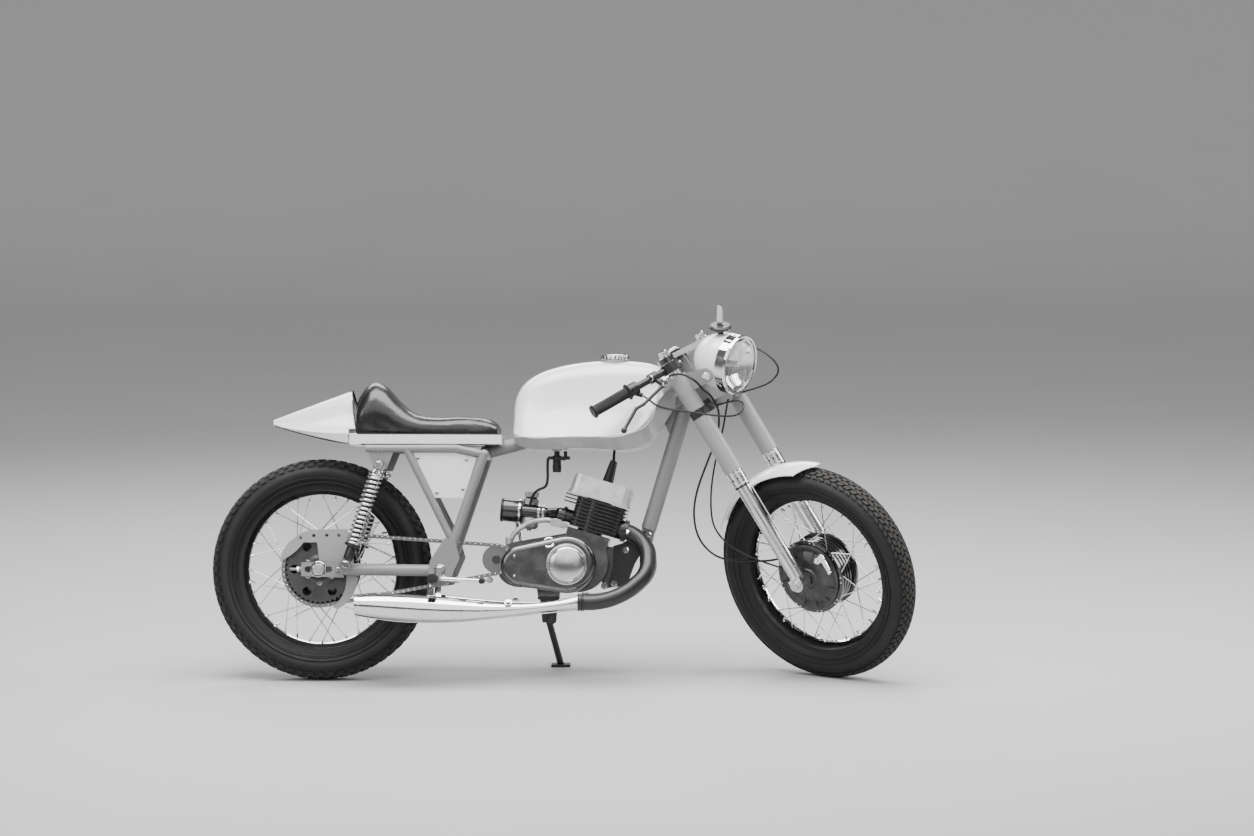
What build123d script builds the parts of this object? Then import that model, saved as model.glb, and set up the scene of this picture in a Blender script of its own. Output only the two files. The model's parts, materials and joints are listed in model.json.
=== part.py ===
from build123d import *
import math
import os

os.makedirs("parts", exist_ok=True)

# A cafe racer motorcycle, in millimetres, parked on its side stand with the steering at its right stop.
# The bike's own frame is upright: X forward, Y to the rider's left, Z up, the floor at Z 0,
# with the two axles the same distance ahead of and behind the origin.
# The fork frame has its Z up the steering axis, its X ahead of it and its origin level with the front axle.

# Driving dimensions of the chassis
wheelbase = 1457.0
rake = 31.0
fork_offset = 40.0
side_lean = 8.0
steer_stop = 40.0
tyre_radius = 322.0
seat_gap = 0.3

# Wheels: rim, tyre sections, hubs and spokes
rim_radius = 242.5
rim_half_width = 31.5
rim_wall = 3.0
lip_width = 5.0
bead_depth = 12.0
well_depth = 24.0
well_half_width = 9.0
shoulder_drop = 14.0
front_tyre_width = 92.0
front_shoulder_width = 70.0
rear_tyre_width = 102.0
rear_shoulder_width = 80.0
axle_radius = 8.5
spoke_count = 36
spoke_radius = 1.6
spoke_reach = 26.0
spoke_stagger = 2.3
drum_radius = 98.0
flange_radius = 110.0
flange_width = 9.0
flange_y = 38.0
fin_depth = 5.0
drum_fins = 5
hub_end_y = 62.0

# Fork and steering, in the fork frame
leg_y = 95.0
stanchion_radius = 18.0
slider_radius = 21.5
slider_bottom = 8.0
slider_top = 330.0
collar_radius = 25.0
collar_top = 375.0
shroud_radius = 27.0
shroud_bottom = 377.0
shroud_seam = 637.0
lower_yoke_z = 560.0
lower_yoke_height = 24.0
head_bottom = 600.0
head_top = 738.0
head_radius = 30.0
head_bore = 20.0
stem_radius = 15.0
top_yoke_z = 744.0
top_yoke_height = 16.0
leg_top = 766.0
clamp_half = 22.0

# Headlamp, on an axis in the fork frame
lens_centre = (187.5, 0.0, 629.5)
lamp_axis = (0.789, 0.0, -0.615)
lens_radius = 80.0
lamp_radius = 87.0
lamp_depth = 138.0

# Handlebars
bar_radius = 11.0
bar_z = 728.0
bar_sweep_x = -137.0
bar_reach_y = 245.0
clamp_height = 28.0
grip_radius = 16.5
grip_length = 128.0
shroud_gap = 18.0
shroud_top = bar_z - clamp_height / 2 - shroud_gap

# Chain drive, on the right
chain_y = -72.0
chain_half_width = 8.0
chain_pitch = 15.875
rear_teeth = 42
front_teeth = 16
roller_radius = 5.0
front_sprocket_x = -215.0
front_sprocket_z = 352.0

# Rear suspension
pivot_x = -375.0
pivot_z = 319.0
arm_y = 106.0
arm_radius = 17.0
shock_y = 138.0
shock_top = (-551.0, 624.0)
shock_bottom = (-646.0, 336.0)
axle_plate_half = 9.0

# Frame tubes
backbone_radius = 20.0
downtube_radius = 22.5
cross_x = -250.0
cross_z = 656.0
cross_radius = 14.0
side_y = 112.0
side_tube_radius = 14.0
rail_radius = 11.0
tray_z = 684.0
rail_z = tray_z - seat_gap - rail_radius

# Places worked out from the driving dimensions
rear_axle = Vector(-wheelbase / 2, 0, tyre_radius)
front_axle = Vector(wheelbase / 2, 0, tyre_radius)
ahead = Vector(math.cos(math.radians(rake)), 0, math.sin(math.radians(rake)))
steer_axis = Vector(-math.sin(math.radians(rake)), 0, math.cos(math.radians(rake)))
fork_frame = Location((front_axle - ahead * fork_offset), (0, -rake, 0))
steered = fork_frame * Location((0, 0, 0), (0, 0, -steer_stop))
front_wheel_place = steered * Location((fork_offset, 0, 0), (0, rake, 0))
rear_wheel_place = Location(rear_axle)


def crown_radius(shoulder_width):
    """Radius of a tyre's crown, from its width at the shoulders."""
    half = shoulder_width / 2
    return (half**2 + shoulder_drop**2) / (2 * shoulder_drop)


def lowest_point(place, shoulder_width):
    """Height of the lowest point of a tyre whose wheel turns about the place's own Y."""
    crown = crown_radius(shoulder_width)
    tilt = (place * Location((0, 1, 0))).position.Z - place.position.Z
    return place.position.Z - (tyre_radius - crown) * math.sqrt(1 - tilt**2) - crown


# The bike leans on its stand, and pitches a little until both tyres touch the floor
pitch = 0.0
for _ in range(4):
    roll = Location((0, 0, 0), (0, pitch, 0)) * Location((0, 0, 0), (-side_lean, 0, 0))
    front_low = lowest_point(roll * front_wheel_place, front_shoulder_width)
    rear_low = lowest_point(roll * rear_wheel_place, rear_shoulder_width)
    pitch = pitch + math.degrees(math.atan((front_low - rear_low) / wheelbase))
parked = Location((0, 0, -rear_low)) * roll


def side_plane(y):
    """Plane facing the bike's right at this Y: its x is the bike's X and its y is the bike's Z."""
    return Plane(origin=(0, y, 0), x_dir=(1, 0, 0), z_dir=(0, -1, 0))


def rod(start, end, radius):
    """Round bar between two points, added to the part being built."""
    start = Vector(*start)
    end = Vector(*end)
    with BuildSketch(Plane(origin=start, z_dir=end - start)) as disc:
        Circle(radius)
    extrude(disc.sketch, amount=(end - start).length)


def drill(start, end, radius):
    """Round hole between two points, cut from the part being built."""
    start = Vector(*start)
    end = Vector(*end)
    with BuildSketch(Plane(origin=start, z_dir=end - start)) as disc:
        Circle(radius)
    extrude(disc.sketch, amount=(end - start).length, mode=Mode.SUBTRACT)


def bent_rod(points, bends, radius):
    """Round bar along straight runs joined by arcs, added to the part being built."""
    with BuildLine() as route:
        FilletPolyline(*points, radius=bends)
    with BuildSketch(Plane(origin=route.wire() @ 0, z_dir=route.wire() % 0)) as disc:
        Circle(radius)
    sweep(disc.sketch, path=route.wire())


def plate(points, y, thickness, mode=Mode.ADD):
    """Flat plate with this side outline, from y towards the bike's right."""
    with BuildSketch(side_plane(y)) as outline:
        with BuildLine():
            Polyline(*points, close=True)
        make_face()
    extrude(outline.sketch, amount=thickness, mode=mode)


def turned(profile, mode=Mode.ADD):
    """Solid turned about Y, from a closed profile of (radius, y) points."""
    with BuildSketch(Plane.XY) as half:
        with BuildLine():
            Polyline(*profile, close=True)
        make_face()
    revolve(half.sketch, axis=Axis.Y, mode=mode)


# Each list holds the pieces that share one place
chassis = []
steering = []
front_wheel = []
rear_wheel = []
stand = []


def keep(part, label, pieces):
    """Name a finished piece and put it with those that share its place."""
    part.label = label
    pieces.append(part)


# Tyres, each turned about the wheel's own Y
bead_radius = rim_radius - bead_depth
for label, width, shoulder_width, pieces in (
    ("front_tyre", front_tyre_width, front_shoulder_width, front_wheel),
    ("rear_tyre", rear_tyre_width, rear_shoulder_width, rear_wheel),
):
    bead_y = rim_half_width - lip_width - seat_gap
    shoulder = (tyre_radius - shoulder_drop, shoulder_width / 2)
    widest = (rim_radius + 0.52 * (tyre_radius - rim_radius), width / 2)
    with BuildPart() as tyre:
        with BuildSketch(Plane.XY) as section:
            with BuildLine():
                Line((bead_radius, -bead_y), (bead_radius, bead_y))
                Line((bead_radius, bead_y), (rim_radius, bead_y))
                ThreePointArc((rim_radius, bead_y), widest, shoulder)
                ThreePointArc(shoulder, (tyre_radius, 0), (shoulder[0], -shoulder[1]))
                ThreePointArc((shoulder[0], -shoulder[1]), (widest[0], -widest[1]), (rim_radius, -bead_y))
                Line((rim_radius, -bead_y), (bead_radius, -bead_y))
            make_face()
        revolve(axis=Axis.Y)
    keep(tyre.part, label, pieces)

# Rims, with a lip each side and a well for the nipples
seat_radius = bead_radius - seat_gap
well_radius = seat_radius - (well_depth - bead_depth)
lip_y = rim_half_width - lip_width
slope_y = well_half_width + 5.0
for label, pieces in (("front_rim", front_wheel), ("rear_rim", rear_wheel)):
    outer_side = [
        (rim_radius, rim_half_width),
        (rim_radius, lip_y),
        (seat_radius, lip_y),
        (seat_radius, slope_y),
        (well_radius, well_half_width),
    ]
    inner_side = [
        (well_radius - rim_wall, well_half_width),
        (seat_radius - rim_wall, slope_y + rim_wall / 2),
        (seat_radius - rim_wall, rim_half_width - rim_wall),
        (rim_radius - rim_wall, rim_half_width),
    ]
    outer_mirror = [(r, -y) for r, y in reversed(outer_side)]
    inner_mirror = [(r, -y) for r, y in reversed(inner_side)]
    with BuildPart() as rim:
        turned(outer_side + outer_mirror + inner_mirror[:-1] + inner_side[:-1])
    keep(rim.part, label, pieces)

# Hubs: a finned drum between two spoke flanges
fin_pitch = (2 * flange_y - flange_width) / drum_fins
for label, closed_side, pieces in (("front_hub", 1, front_wheel), ("rear_hub", -1, rear_wheel)):
    drum_profile = [
        (axle_radius + seat_gap, -flange_y - flange_width / 2),
        (flange_radius, -flange_y - flange_width / 2),
        (flange_radius, -flange_y + flange_width / 2),
    ]
    for fin in range(drum_fins):
        fin_y = -flange_y + flange_width / 2 + (fin + 0.5) * fin_pitch
        drum_profile += [
            (drum_radius, fin_y - fin_pitch / 4),
            (drum_radius + fin_depth, fin_y - fin_pitch / 4),
            (drum_radius + fin_depth, fin_y + fin_pitch / 4),
            (drum_radius, fin_y + fin_pitch / 4),
        ]
    drum_profile += [
        (flange_radius, flange_y - flange_width / 2),
        (flange_radius, flange_y + flange_width / 2),
        (drum_radius - 10, flange_y + flange_width / 2),
        (32, hub_end_y - 4),
        (22, hub_end_y),
        (axle_radius + seat_gap, hub_end_y),
    ]
    with BuildPart() as hub:
        turned([(r, closed_side * y) for r, y in drum_profile])
    keep(hub.part, label, pieces)

# Spokes, half to each flange, leaning forward and back in turn
spoke_inner = flange_radius + spoke_radius
spoke_outer = well_radius - rim_wall - 0.6
for label, pieces in (("front_spokes", front_wheel), ("rear_spokes", rear_wheel)):
    with BuildPart() as spokes:
        for index in range(spoke_count):
            flange_side = 1 if index % 2 else -1
            lean_side = 1 if (index // 2) % 2 else -1
            rim_angle = math.radians(index * 360 / spoke_count)
            hub_angle = rim_angle + lean_side * math.radians(spoke_reach)
            stagger = lean_side * spoke_stagger
            hub_end = (
                spoke_inner * math.cos(hub_angle),
                flange_side * flange_y + stagger,
                spoke_inner * math.sin(hub_angle),
            )
            rim_end = (
                spoke_outer * math.cos(rim_angle),
                flange_side * well_half_width / 2 + stagger,
                spoke_outer * math.sin(rim_angle),
            )
            rod(hub_end, rim_end, spoke_radius)
    keep(spokes.part, label, pieces)

# Rear sprocket, bolted to the hub's right side, with short teeth inside the chain's rollers
rear_pitch_radius = chain_pitch / (2 * math.sin(math.pi / rear_teeth))
front_pitch_radius = chain_pitch / (2 * math.sin(math.pi / front_teeth))
sprocket_thickness = 6.5
sprocket_boss_y = chain_y - 8.0
tooth_tip = rear_pitch_radius - roller_radius - 0.6
tooth_root = tooth_tip - 6.0
with BuildPart() as rear_sprocket:
    with BuildSketch(side_plane(chain_y)):
        with BuildLine():
            tooth_points = []
            for tooth in range(rear_teeth):
                start = tooth * 360 / rear_teeth
                step = 360 / rear_teeth
                for share, radius in ((0.0, tooth_root), (0.28, tooth_root), (0.5, tooth_tip), (0.78, tooth_tip)):
                    turn = math.radians(start + share * step)
                    tooth_points.append((radius * math.cos(turn), radius * math.sin(turn)))
            Polyline(*tooth_points, close=True)
        make_face()
        Circle(axle_radius + seat_gap, mode=Mode.SUBTRACT)
        with PolarLocations(74, 6):
            Circle(13, mode=Mode.SUBTRACT)
    extrude(amount=sprocket_thickness / 2, both=True)
    turned([
        (axle_radius + seat_gap, -hub_end_y - seat_gap),
        (50, -hub_end_y - seat_gap),
        (50, chain_y),
        (34, sprocket_boss_y),
        (axle_radius + seat_gap, sprocket_boss_y),
    ])
keep(rear_sprocket.part, "rear_sprocket", rear_wheel)

# Steering stem with the lower yoke
yoke_top = lower_yoke_z + lower_yoke_height
with BuildPart() as steering_stem:
    with BuildSketch(Plane.XY.offset(lower_yoke_z)):
        with Locations((fork_offset, leg_y), (fork_offset, -leg_y)):
            Circle(shroud_radius)
        with Locations((8, 0)):
            Circle(head_radius)
        make_hull()
        with Locations((fork_offset, leg_y), (fork_offset, -leg_y)):
            Circle(stanchion_radius + seat_gap, mode=Mode.SUBTRACT)
    extrude(amount=lower_yoke_height)
    with BuildSketch(Plane.XY.offset(yoke_top - 1)):
        Circle(head_radius)
    extrude(amount=head_bottom - seat_gap - yoke_top + 1)
    with BuildSketch(Plane.XY.offset(lower_yoke_z)):
        Circle(stem_radius)
    extrude(amount=leg_top + 8 - lower_yoke_z)
    with BuildSketch(Plane.XY.offset(top_yoke_z + top_yoke_height + seat_gap)):
        RegularPolygon(radius=21, side_count=6)
    extrude(amount=10)
keep(steering_stem.part, "steering_stem", steering)

# Top yoke
with BuildPart() as top_yoke:
    with BuildSketch(Plane.XY.offset(top_yoke_z)):
        with Locations((fork_offset, leg_y), (fork_offset, -leg_y)):
            Circle(stanchion_radius + 10)
        with Locations((2, 0)):
            Circle(head_radius)
        make_hull()
        with Locations((fork_offset, leg_y), (fork_offset, -leg_y)):
            Circle(stanchion_radius + seat_gap, mode=Mode.SUBTRACT)
        Circle(stem_radius + seat_gap, mode=Mode.SUBTRACT)
    extrude(amount=top_yoke_height)
    with BuildSketch(Plane.XY.offset(head_top + seat_gap)):
        Circle(head_radius - 2)
        Circle(stem_radius + seat_gap, mode=Mode.SUBTRACT)
    extrude(amount=top_yoke_z - head_top - seat_gap + 1)
keep(top_yoke.part, "top_yoke", steering)

# Fork legs: stanchion, collar, polished slider and the axle clamp
for label, side in (("fork_leg_right", -1), ("fork_leg_left", 1)):
    y = side * leg_y
    with BuildPart() as fork_leg:
        rod((fork_offset, y, slider_bottom), (fork_offset, y, slider_top), slider_radius)
        rod((fork_offset, y, slider_top - 1), (fork_offset, y, collar_top), collar_radius)
        rod((fork_offset, y, collar_top - 1), (fork_offset, y, leg_top), stanchion_radius)
        with BuildSketch(Plane.XY.offset(leg_top - 1)):
            with Locations((fork_offset, y)):
                RegularPolygon(radius=16, side_count=6)
        extrude(amount=11)
        with BuildSketch(side_plane(y)):
            with Locations((fork_offset, 0)):
                Circle(21)
            with Locations((fork_offset, slider_bottom)):
                Rectangle(42, 24)
        extrude(amount=clamp_half, both=True)
        drill((fork_offset, y - 40, 0), (fork_offset, y + 40, 0), axle_radius + seat_gap)
    keep(fork_leg.part, label, steering)

# Fork shrouds: a lower tube, and an upper one with the ear that holds the headlamp
lamp_frame = Plane(origin=lens_centre, x_dir=(0, 1, 0), z_dir=lamp_axis)
ear_y = lamp_radius - 1 + seat_gap
ear_thickness = 4.0
ear_bolt = (132.0, 654.0)
for label, side in (("fork_shroud_right", -1), ("fork_shroud_left", 1)):
    y = side * leg_y
    with BuildPart() as fork_shroud:
        rod((fork_offset, y, shroud_bottom), (fork_offset, y, lower_yoke_z - seat_gap), shroud_radius)
        rod((fork_offset, y, yoke_top + seat_gap), (fork_offset, y, shroud_top), shroud_radius)
        rod((fork_offset, y, shroud_seam - 2), (fork_offset, y, shroud_seam + 2), shroud_radius + 1)
        with BuildSketch(side_plane(side * ear_y + (0 if side < 0 else ear_thickness))):
            with Locations(ear_bolt):
                Circle(21)
            with Locations((fork_offset, shroud_top - 16)):
                Circle(16)
            with Locations((fork_offset, shroud_seam + 14)):
                Circle(10)
            make_hull()
        extrude(amount=ear_thickness)
        drill((fork_offset, y, shroud_bottom - 1), (fork_offset, y, shroud_top + 1), stanchion_radius + seat_gap)
    keep(fork_shroud.part, label, steering)

# Headlamp shell, rim and lens, all turned about the lamp's axis
shell_front = 34.0
with BuildPart() as headlamp_shell:
    with BuildSketch(Plane.XZ) as profile:
        with BuildLine():
            Line((0, -shell_front), (lamp_radius - 1, -shell_front))
            Line((lamp_radius - 1, -shell_front), (lamp_radius - 1, -shell_front - 30))
            ThreePointArc(
                (lamp_radius - 1, -shell_front - 30),
                (lamp_radius - 14, -lamp_depth + 34),
                (lamp_radius - 48, -lamp_depth),
            )
            Line((lamp_radius - 48, -lamp_depth), (0, -lamp_depth))
            Line((0, -lamp_depth), (0, -shell_front))
        make_face()
    revolve(axis=Axis.Z)
keep(headlamp_shell.part.moved(lamp_frame.location), "headlamp_shell", steering)
with BuildPart() as headlamp_rim:
    with BuildSketch(Plane.XZ):
        with BuildLine():
            Polyline(
                (lens_radius, 0),
                (lens_radius + 5, 1),
                (lamp_radius + 1, -6),
                (lamp_radius + 1, -shell_front + seat_gap),
                (lens_radius - 10, -shell_front + seat_gap),
                (lens_radius - 10, -8),
                (lens_radius, -8),
                close=True,
            )
        make_face()
    revolve(axis=Axis.Z)
keep(headlamp_rim.part.moved(lamp_frame.location), "headlamp_rim", steering)
lens_edge = lens_radius - seat_gap
lens_crown = 10.0
with BuildPart() as headlamp_lens:
    with BuildSketch(Plane.XZ):
        with BuildLine():
            Line((0, -7.7), (lens_edge, -7.7))
            Line((lens_edge, -7.7), (lens_edge, -3))
            dome = (lens_edge**2 + lens_crown**2) / (2 * lens_crown)
            half_way = lens_crown - 3 - dome + math.sqrt(dome**2 - lens_edge**2 / 4)
            ThreePointArc((lens_edge, -3), (lens_edge / 2, half_way), (0, lens_crown - 3))
            Line((0, lens_crown - 3), (0, -7.7))
        make_face()
    revolve(axis=Axis.Z)
keep(headlamp_lens.part.moved(lamp_frame.location), "headlamp_lens", steering)

# Switch on top of the shell: a round base on a short stem, with an upright handle
switch_depth = 70.0
switch_rise = lamp_radius - 1 + seat_gap
handle_height = 58.0
with BuildPart() as headlamp_switch:
    with BuildSketch(Plane.XZ):
        with BuildLine():
            Polyline((0, 0), (10, 0), (10, 9), (29, 11), (32, 15), (32, 20), (28, 24), (0, 24), close=True)
        make_face()
    revolve(axis=Axis.Z)
    with BuildSketch(Plane.XZ):
        with BuildLine():
            Polyline((-10, 22), (-8, 24 + handle_height), (0, 28 + handle_height), (8, 24 + handle_height), (10, 22), close=True)
        make_face()
    extrude(amount=3.5, both=True)
lamp_up = (-lamp_axis[2], 0, lamp_axis[0])
switch_place = Vector(*lens_centre) - Vector(*lamp_axis) * switch_depth + Vector(*lamp_up) * switch_rise
switch_frame = Plane(origin=switch_place, x_dir=lamp_axis, z_dir=lamp_up)
keep(headlamp_switch.part.moved(switch_frame.location), "headlamp_switch", steering)

# Handlebars, clamped to the stanchions, with the lever's perch and the lever hanging below and ahead
bar_length = math.hypot(bar_sweep_x, bar_reach_y)
clamp_outer = stanchion_radius + 12
perch_run = 66.0
lever_ahead = 18.0
housing_length = 28.0
# columns: distance along the bar from its clamp, drop below the bar
lever_points = [(perch_run - 12, 34), (perch_run + 74, 54), (perch_run + 100, 54), (bar_length - 48, 91)]
for side, name in ((-1, "right"), (1, "left")):
    along = Vector(bar_sweep_x, side * bar_reach_y, 0).normalized()
    across = Vector(bar_reach_y, -side * bar_sweep_x, 0).normalized()
    clamp = Vector(fork_offset, side * leg_y, bar_z)
    bar_end = clamp + along * bar_length
    grip_start = bar_end - along * grip_length
    perch = clamp + along * perch_run
    with BuildPart() as handlebar:
        rod((clamp + along * (stanchion_radius + 4)), bar_end, bar_radius)
        with BuildSketch(Plane.XY.offset(bar_z - clamp_height / 2)):
            with Locations((clamp.X, clamp.Y)):
                Circle(clamp_outer)
                Circle(stanchion_radius + seat_gap, mode=Mode.SUBTRACT)
        extrude(amount=clamp_height)
        rod((perch - along * 13), (perch + along * 13), bar_radius + 5)
        lever_route = [clamp + along * run + across * lever_ahead - Vector(0, 0, drop) for run, drop in lever_points]
        rod(perch, lever_route[0] - across * 4, 8)
        rod(lever_route[0] - across * 8, lever_route[0] + across * 8, 9)
        for start, end in zip(lever_route, lever_route[1:]):
            rod(start, end, 5)
            with Locations(end):
                Sphere(5.5)
        with Locations(lever_route[-1]):
            Sphere(9)
        housing_end = grip_start - along * seat_gap
        rod(housing_end - along * housing_length, housing_end, bar_radius + 9)
        drill((bar_end - along * 60), (bar_end + along), bar_radius - 2.5)
    keep(handlebar.part, f"handlebar_{name}", steering)
    with BuildPart() as grip:
        rod(grip_start, bar_end, grip_radius)
        rod(grip_start, (grip_start + along * 5), grip_radius + 8)
        rod((bar_end - along * 4), bar_end, grip_radius + 4)
        drill((grip_start - along), (bar_end + along), bar_radius + seat_gap)
    keep(grip.part, f"grip_{name}", steering)

# Front mudguard: a crowned strip about the front axle, carried between the fork sliders
guard_inner = tyre_radius + 12
guard_half_width = 54.0
guard_wall = 2.5
guard_start = 52.7
guard_end = 127.0
tip_half = 12.0
tip_length = 52.0
strap_half = 8.0
strap_thickness = 4.0
strap_foot_z = 114.0
strap_y = 68.0
guard_edge_drop = 22.0
guard_turn = math.radians(guard_start)
guard_plane = Plane(
    origin=(fork_offset, 0, 0),
    x_dir=(math.cos(guard_turn), 0, math.sin(guard_turn)),
    z_dir=(math.sin(guard_turn), 0, -math.cos(guard_turn)),
)
guard_edge = guard_inner - guard_edge_drop
guard_lug_z = guard_inner - 16
guard_lug_inner = 43.0
with BuildPart() as front_mudguard:
    with BuildSketch(guard_plane):
        with BuildLine():
            ThreePointArc((guard_edge, -guard_half_width), (guard_inner, 0), (guard_edge, guard_half_width))
            Line((guard_edge, guard_half_width), (guard_edge + guard_wall, guard_half_width))
            ThreePointArc(
                (guard_edge + guard_wall, guard_half_width),
                (guard_inner + guard_wall, 0),
                (guard_edge + guard_wall, -guard_half_width),
            )
            Line((guard_edge + guard_wall, -guard_half_width), (guard_edge, -guard_half_width))
        make_face()
    revolve(axis=Axis((fork_offset, 0, 0), (0, -1, 0)), revolution_arc=guard_end - guard_start)
    tip_turn = math.radians(guard_start)
    tip_plane = Plane(
        origin=(fork_offset, 0, 0),
        x_dir=(-math.sin(tip_turn), 0, math.cos(tip_turn)),
        z_dir=(math.cos(tip_turn), 0, math.sin(tip_turn)),
    )
    with BuildSketch(tip_plane.offset(guard_edge - 30)) as corners:
        for side in (-1, 1):
            with BuildLine():
                Polyline(
                    (-30, side * tip_half),
                    (0, side * tip_half),
                    (tip_length, side * (guard_half_width + 1)),
                    (-30, side * (guard_half_width + 1)),
                    close=True,
                )
            make_face()
    extrude(corners.sketch, amount=90, mode=Mode.SUBTRACT)
    for side in (-1, 1):
        stay_end = side * (leg_y - slider_radius - seat_gap)
        rod((fork_offset, side * guard_lug_inner, guard_lug_z), (fork_offset, stay_end, guard_lug_z), 9)
        plate(
            [
                (fork_offset - strap_half, strap_foot_z - strap_half),
                (fork_offset + strap_half, strap_foot_z - strap_half),
                (fork_offset + strap_half, guard_lug_z),
                (fork_offset - strap_half, guard_lug_z),
            ],
            side * strap_y + strap_thickness / 2,
            strap_thickness,
        )
        rod((fork_offset, side * strap_y, strap_foot_z), (fork_offset, stay_end, strap_foot_z), strap_half)
keep(front_mudguard.part, "front_mudguard", steering)

# Front axle
axle_half = leg_y + clamp_half + 14
with BuildPart() as front_axle_piece:
    rod((fork_offset, -axle_half, 0), (fork_offset, axle_half, 0), axle_radius)
    for side in (-1, 1):
        inner = side * (leg_y + clamp_half + seat_gap)
        rod((fork_offset, inner, 0), (fork_offset, side * axle_half, 0), 13)
keep(front_axle_piece.part, "front_axle", steering)

# Brake plates, closing the drums: the front one on the right, the rear one on the left
plate_inner = flange_y + flange_width / 2 + seat_gap
for label, closed_side, seat_y, place, pieces in (
    ("front_brake_plate", -1, leg_y - clamp_half, Location((fork_offset, 0, 0)), steering),
    ("rear_brake_plate", 1, arm_y - axle_plate_half, rear_wheel_place, chassis),
):
    plate_profile = [
        (axle_radius + seat_gap, plate_inner),
        (drum_radius, plate_inner),
        (drum_radius, plate_inner + 6),
        (60, plate_inner + 16),
        (20, plate_inner + 20),
        (20, seat_y - seat_gap),
        (axle_radius + seat_gap, seat_y - seat_gap),
    ]
    with BuildPart() as brake_plate:
        turned([(r, closed_side * y) for r, y in plate_profile])
        lever_y = closed_side * (plate_inner + 22)
        rod((62, closed_side * (plate_inner + 8), 28), (62, lever_y + closed_side * 4, 28), 9)
        rod((62, lever_y, 28), (92, lever_y, 78), 5)
    keep(brake_plate.part.moved(place), label, pieces)

# Frame, front half: head tube, backbone, downtube and the cross tube under the seat's nose
head_low = (front_axle - ahead * fork_offset + steer_axis * head_bottom)
head_high = (front_axle - ahead * fork_offset + steer_axis * head_top)
backbone_front = front_axle - ahead * fork_offset + steer_axis * (head_bottom + 14)
backbone_rear = Vector(cross_x, 0, tray_z - seat_gap - backbone_radius)
backbone_run = (backbone_front - backbone_rear).normalized()
backbone_up = Vector(-backbone_run.Z, 0, backbone_run.X)
tank_pad_rise = 24.0
downtube_top = front_axle - ahead * fork_offset + steer_axis * (head_bottom + 47) - ahead * 14
downtube_foot = Vector(226, 0, 441)
lug_half = 11.7
with BuildPart() as frame_front:
    rod(head_low, head_high, head_radius)
    rod(backbone_front - backbone_run * 23, backbone_rear, backbone_radius)
    rod(downtube_top, downtube_foot, downtube_radius)
    with Locations(backbone_rear):
        Sphere(backbone_radius)
    for pad_run in (110, 470):
        pad_foot = backbone_rear + backbone_run * pad_run
        rod(pad_foot, pad_foot + backbone_up * (tank_pad_rise - seat_gap), 14)
    rod((cross_x, -side_y + side_tube_radius, cross_z), (cross_x, side_y - side_tube_radius, cross_z), cross_radius)
    gusset = [
        head_low + Vector(-20, 0, 4),
        downtube_top + (downtube_foot - downtube_top) * 0.4,
        backbone_front + (backbone_rear - backbone_front) * 0.2,
    ]
    plate([(corner.X, corner.Z) for corner in gusset], 5, 10)
    plate([(206, 448), (246, 436), (236, 396), (206, 404)], lug_half, 2 * lug_half)
    drill((head_low - steer_axis), (head_high + steer_axis), head_bore)
keep(frame_front.part, "frame_front", chassis)

# Frame, rear half, one side each: seat rail, rear tube, brace, pivot plate and shock stud
plate_y = arm_y + arm_radius + 0.5
plate_thickness = 8.0
rear_tube_foot = (-350.0, 362.0)
brace_top_x = -475.0
brace_foot = (-337.0, 398.0)
rail_front_x = -330.0
rail_end_x = -592.0
for side, name in ((-1, "right"), (1, "left")):
    y = side * side_y
    with BuildPart() as frame_side:
        bent_rod(
            [(cross_x, y, cross_z), (rail_front_x, y, rail_z), (rail_end_x, y, rail_z)],
            [60],
            rail_radius,
        )
        rod((cross_x, y, cross_z), (rear_tube_foot[0], y, rear_tube_foot[1]), side_tube_radius)
        with Locations((cross_x, y, cross_z)):
            Sphere(side_tube_radius)
        rod((brace_top_x, y, rail_z), (brace_foot[0], y, brace_foot[1]), rail_radius)
        plate_face = side * plate_y + (plate_thickness if side > 0 else 0)
        plate(
            [(-410, 268), (-352, 276), (-318, 356), (-334, 412), (-362, 412), (-404, 346)],
            plate_face,
            plate_thickness,
        )
        shock_face = y + (4 if side < 0 else 4)
        plate(
            [(rail_end_x + 4, rail_z - 4), (-510, rail_z - 4), (-533, 612), (-568, 612)],
            shock_face,
            8,
        )
        rod((shock_top[0], y, shock_top[1]), (shock_top[0], side * (shock_y + 16), shock_top[1]), 8)
        drill((pivot_x, side * 90, pivot_z), (pivot_x, side * 150, pivot_z), axle_radius + seat_gap)
    keep(frame_side.part, f"frame_side_{name}", chassis)

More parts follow.
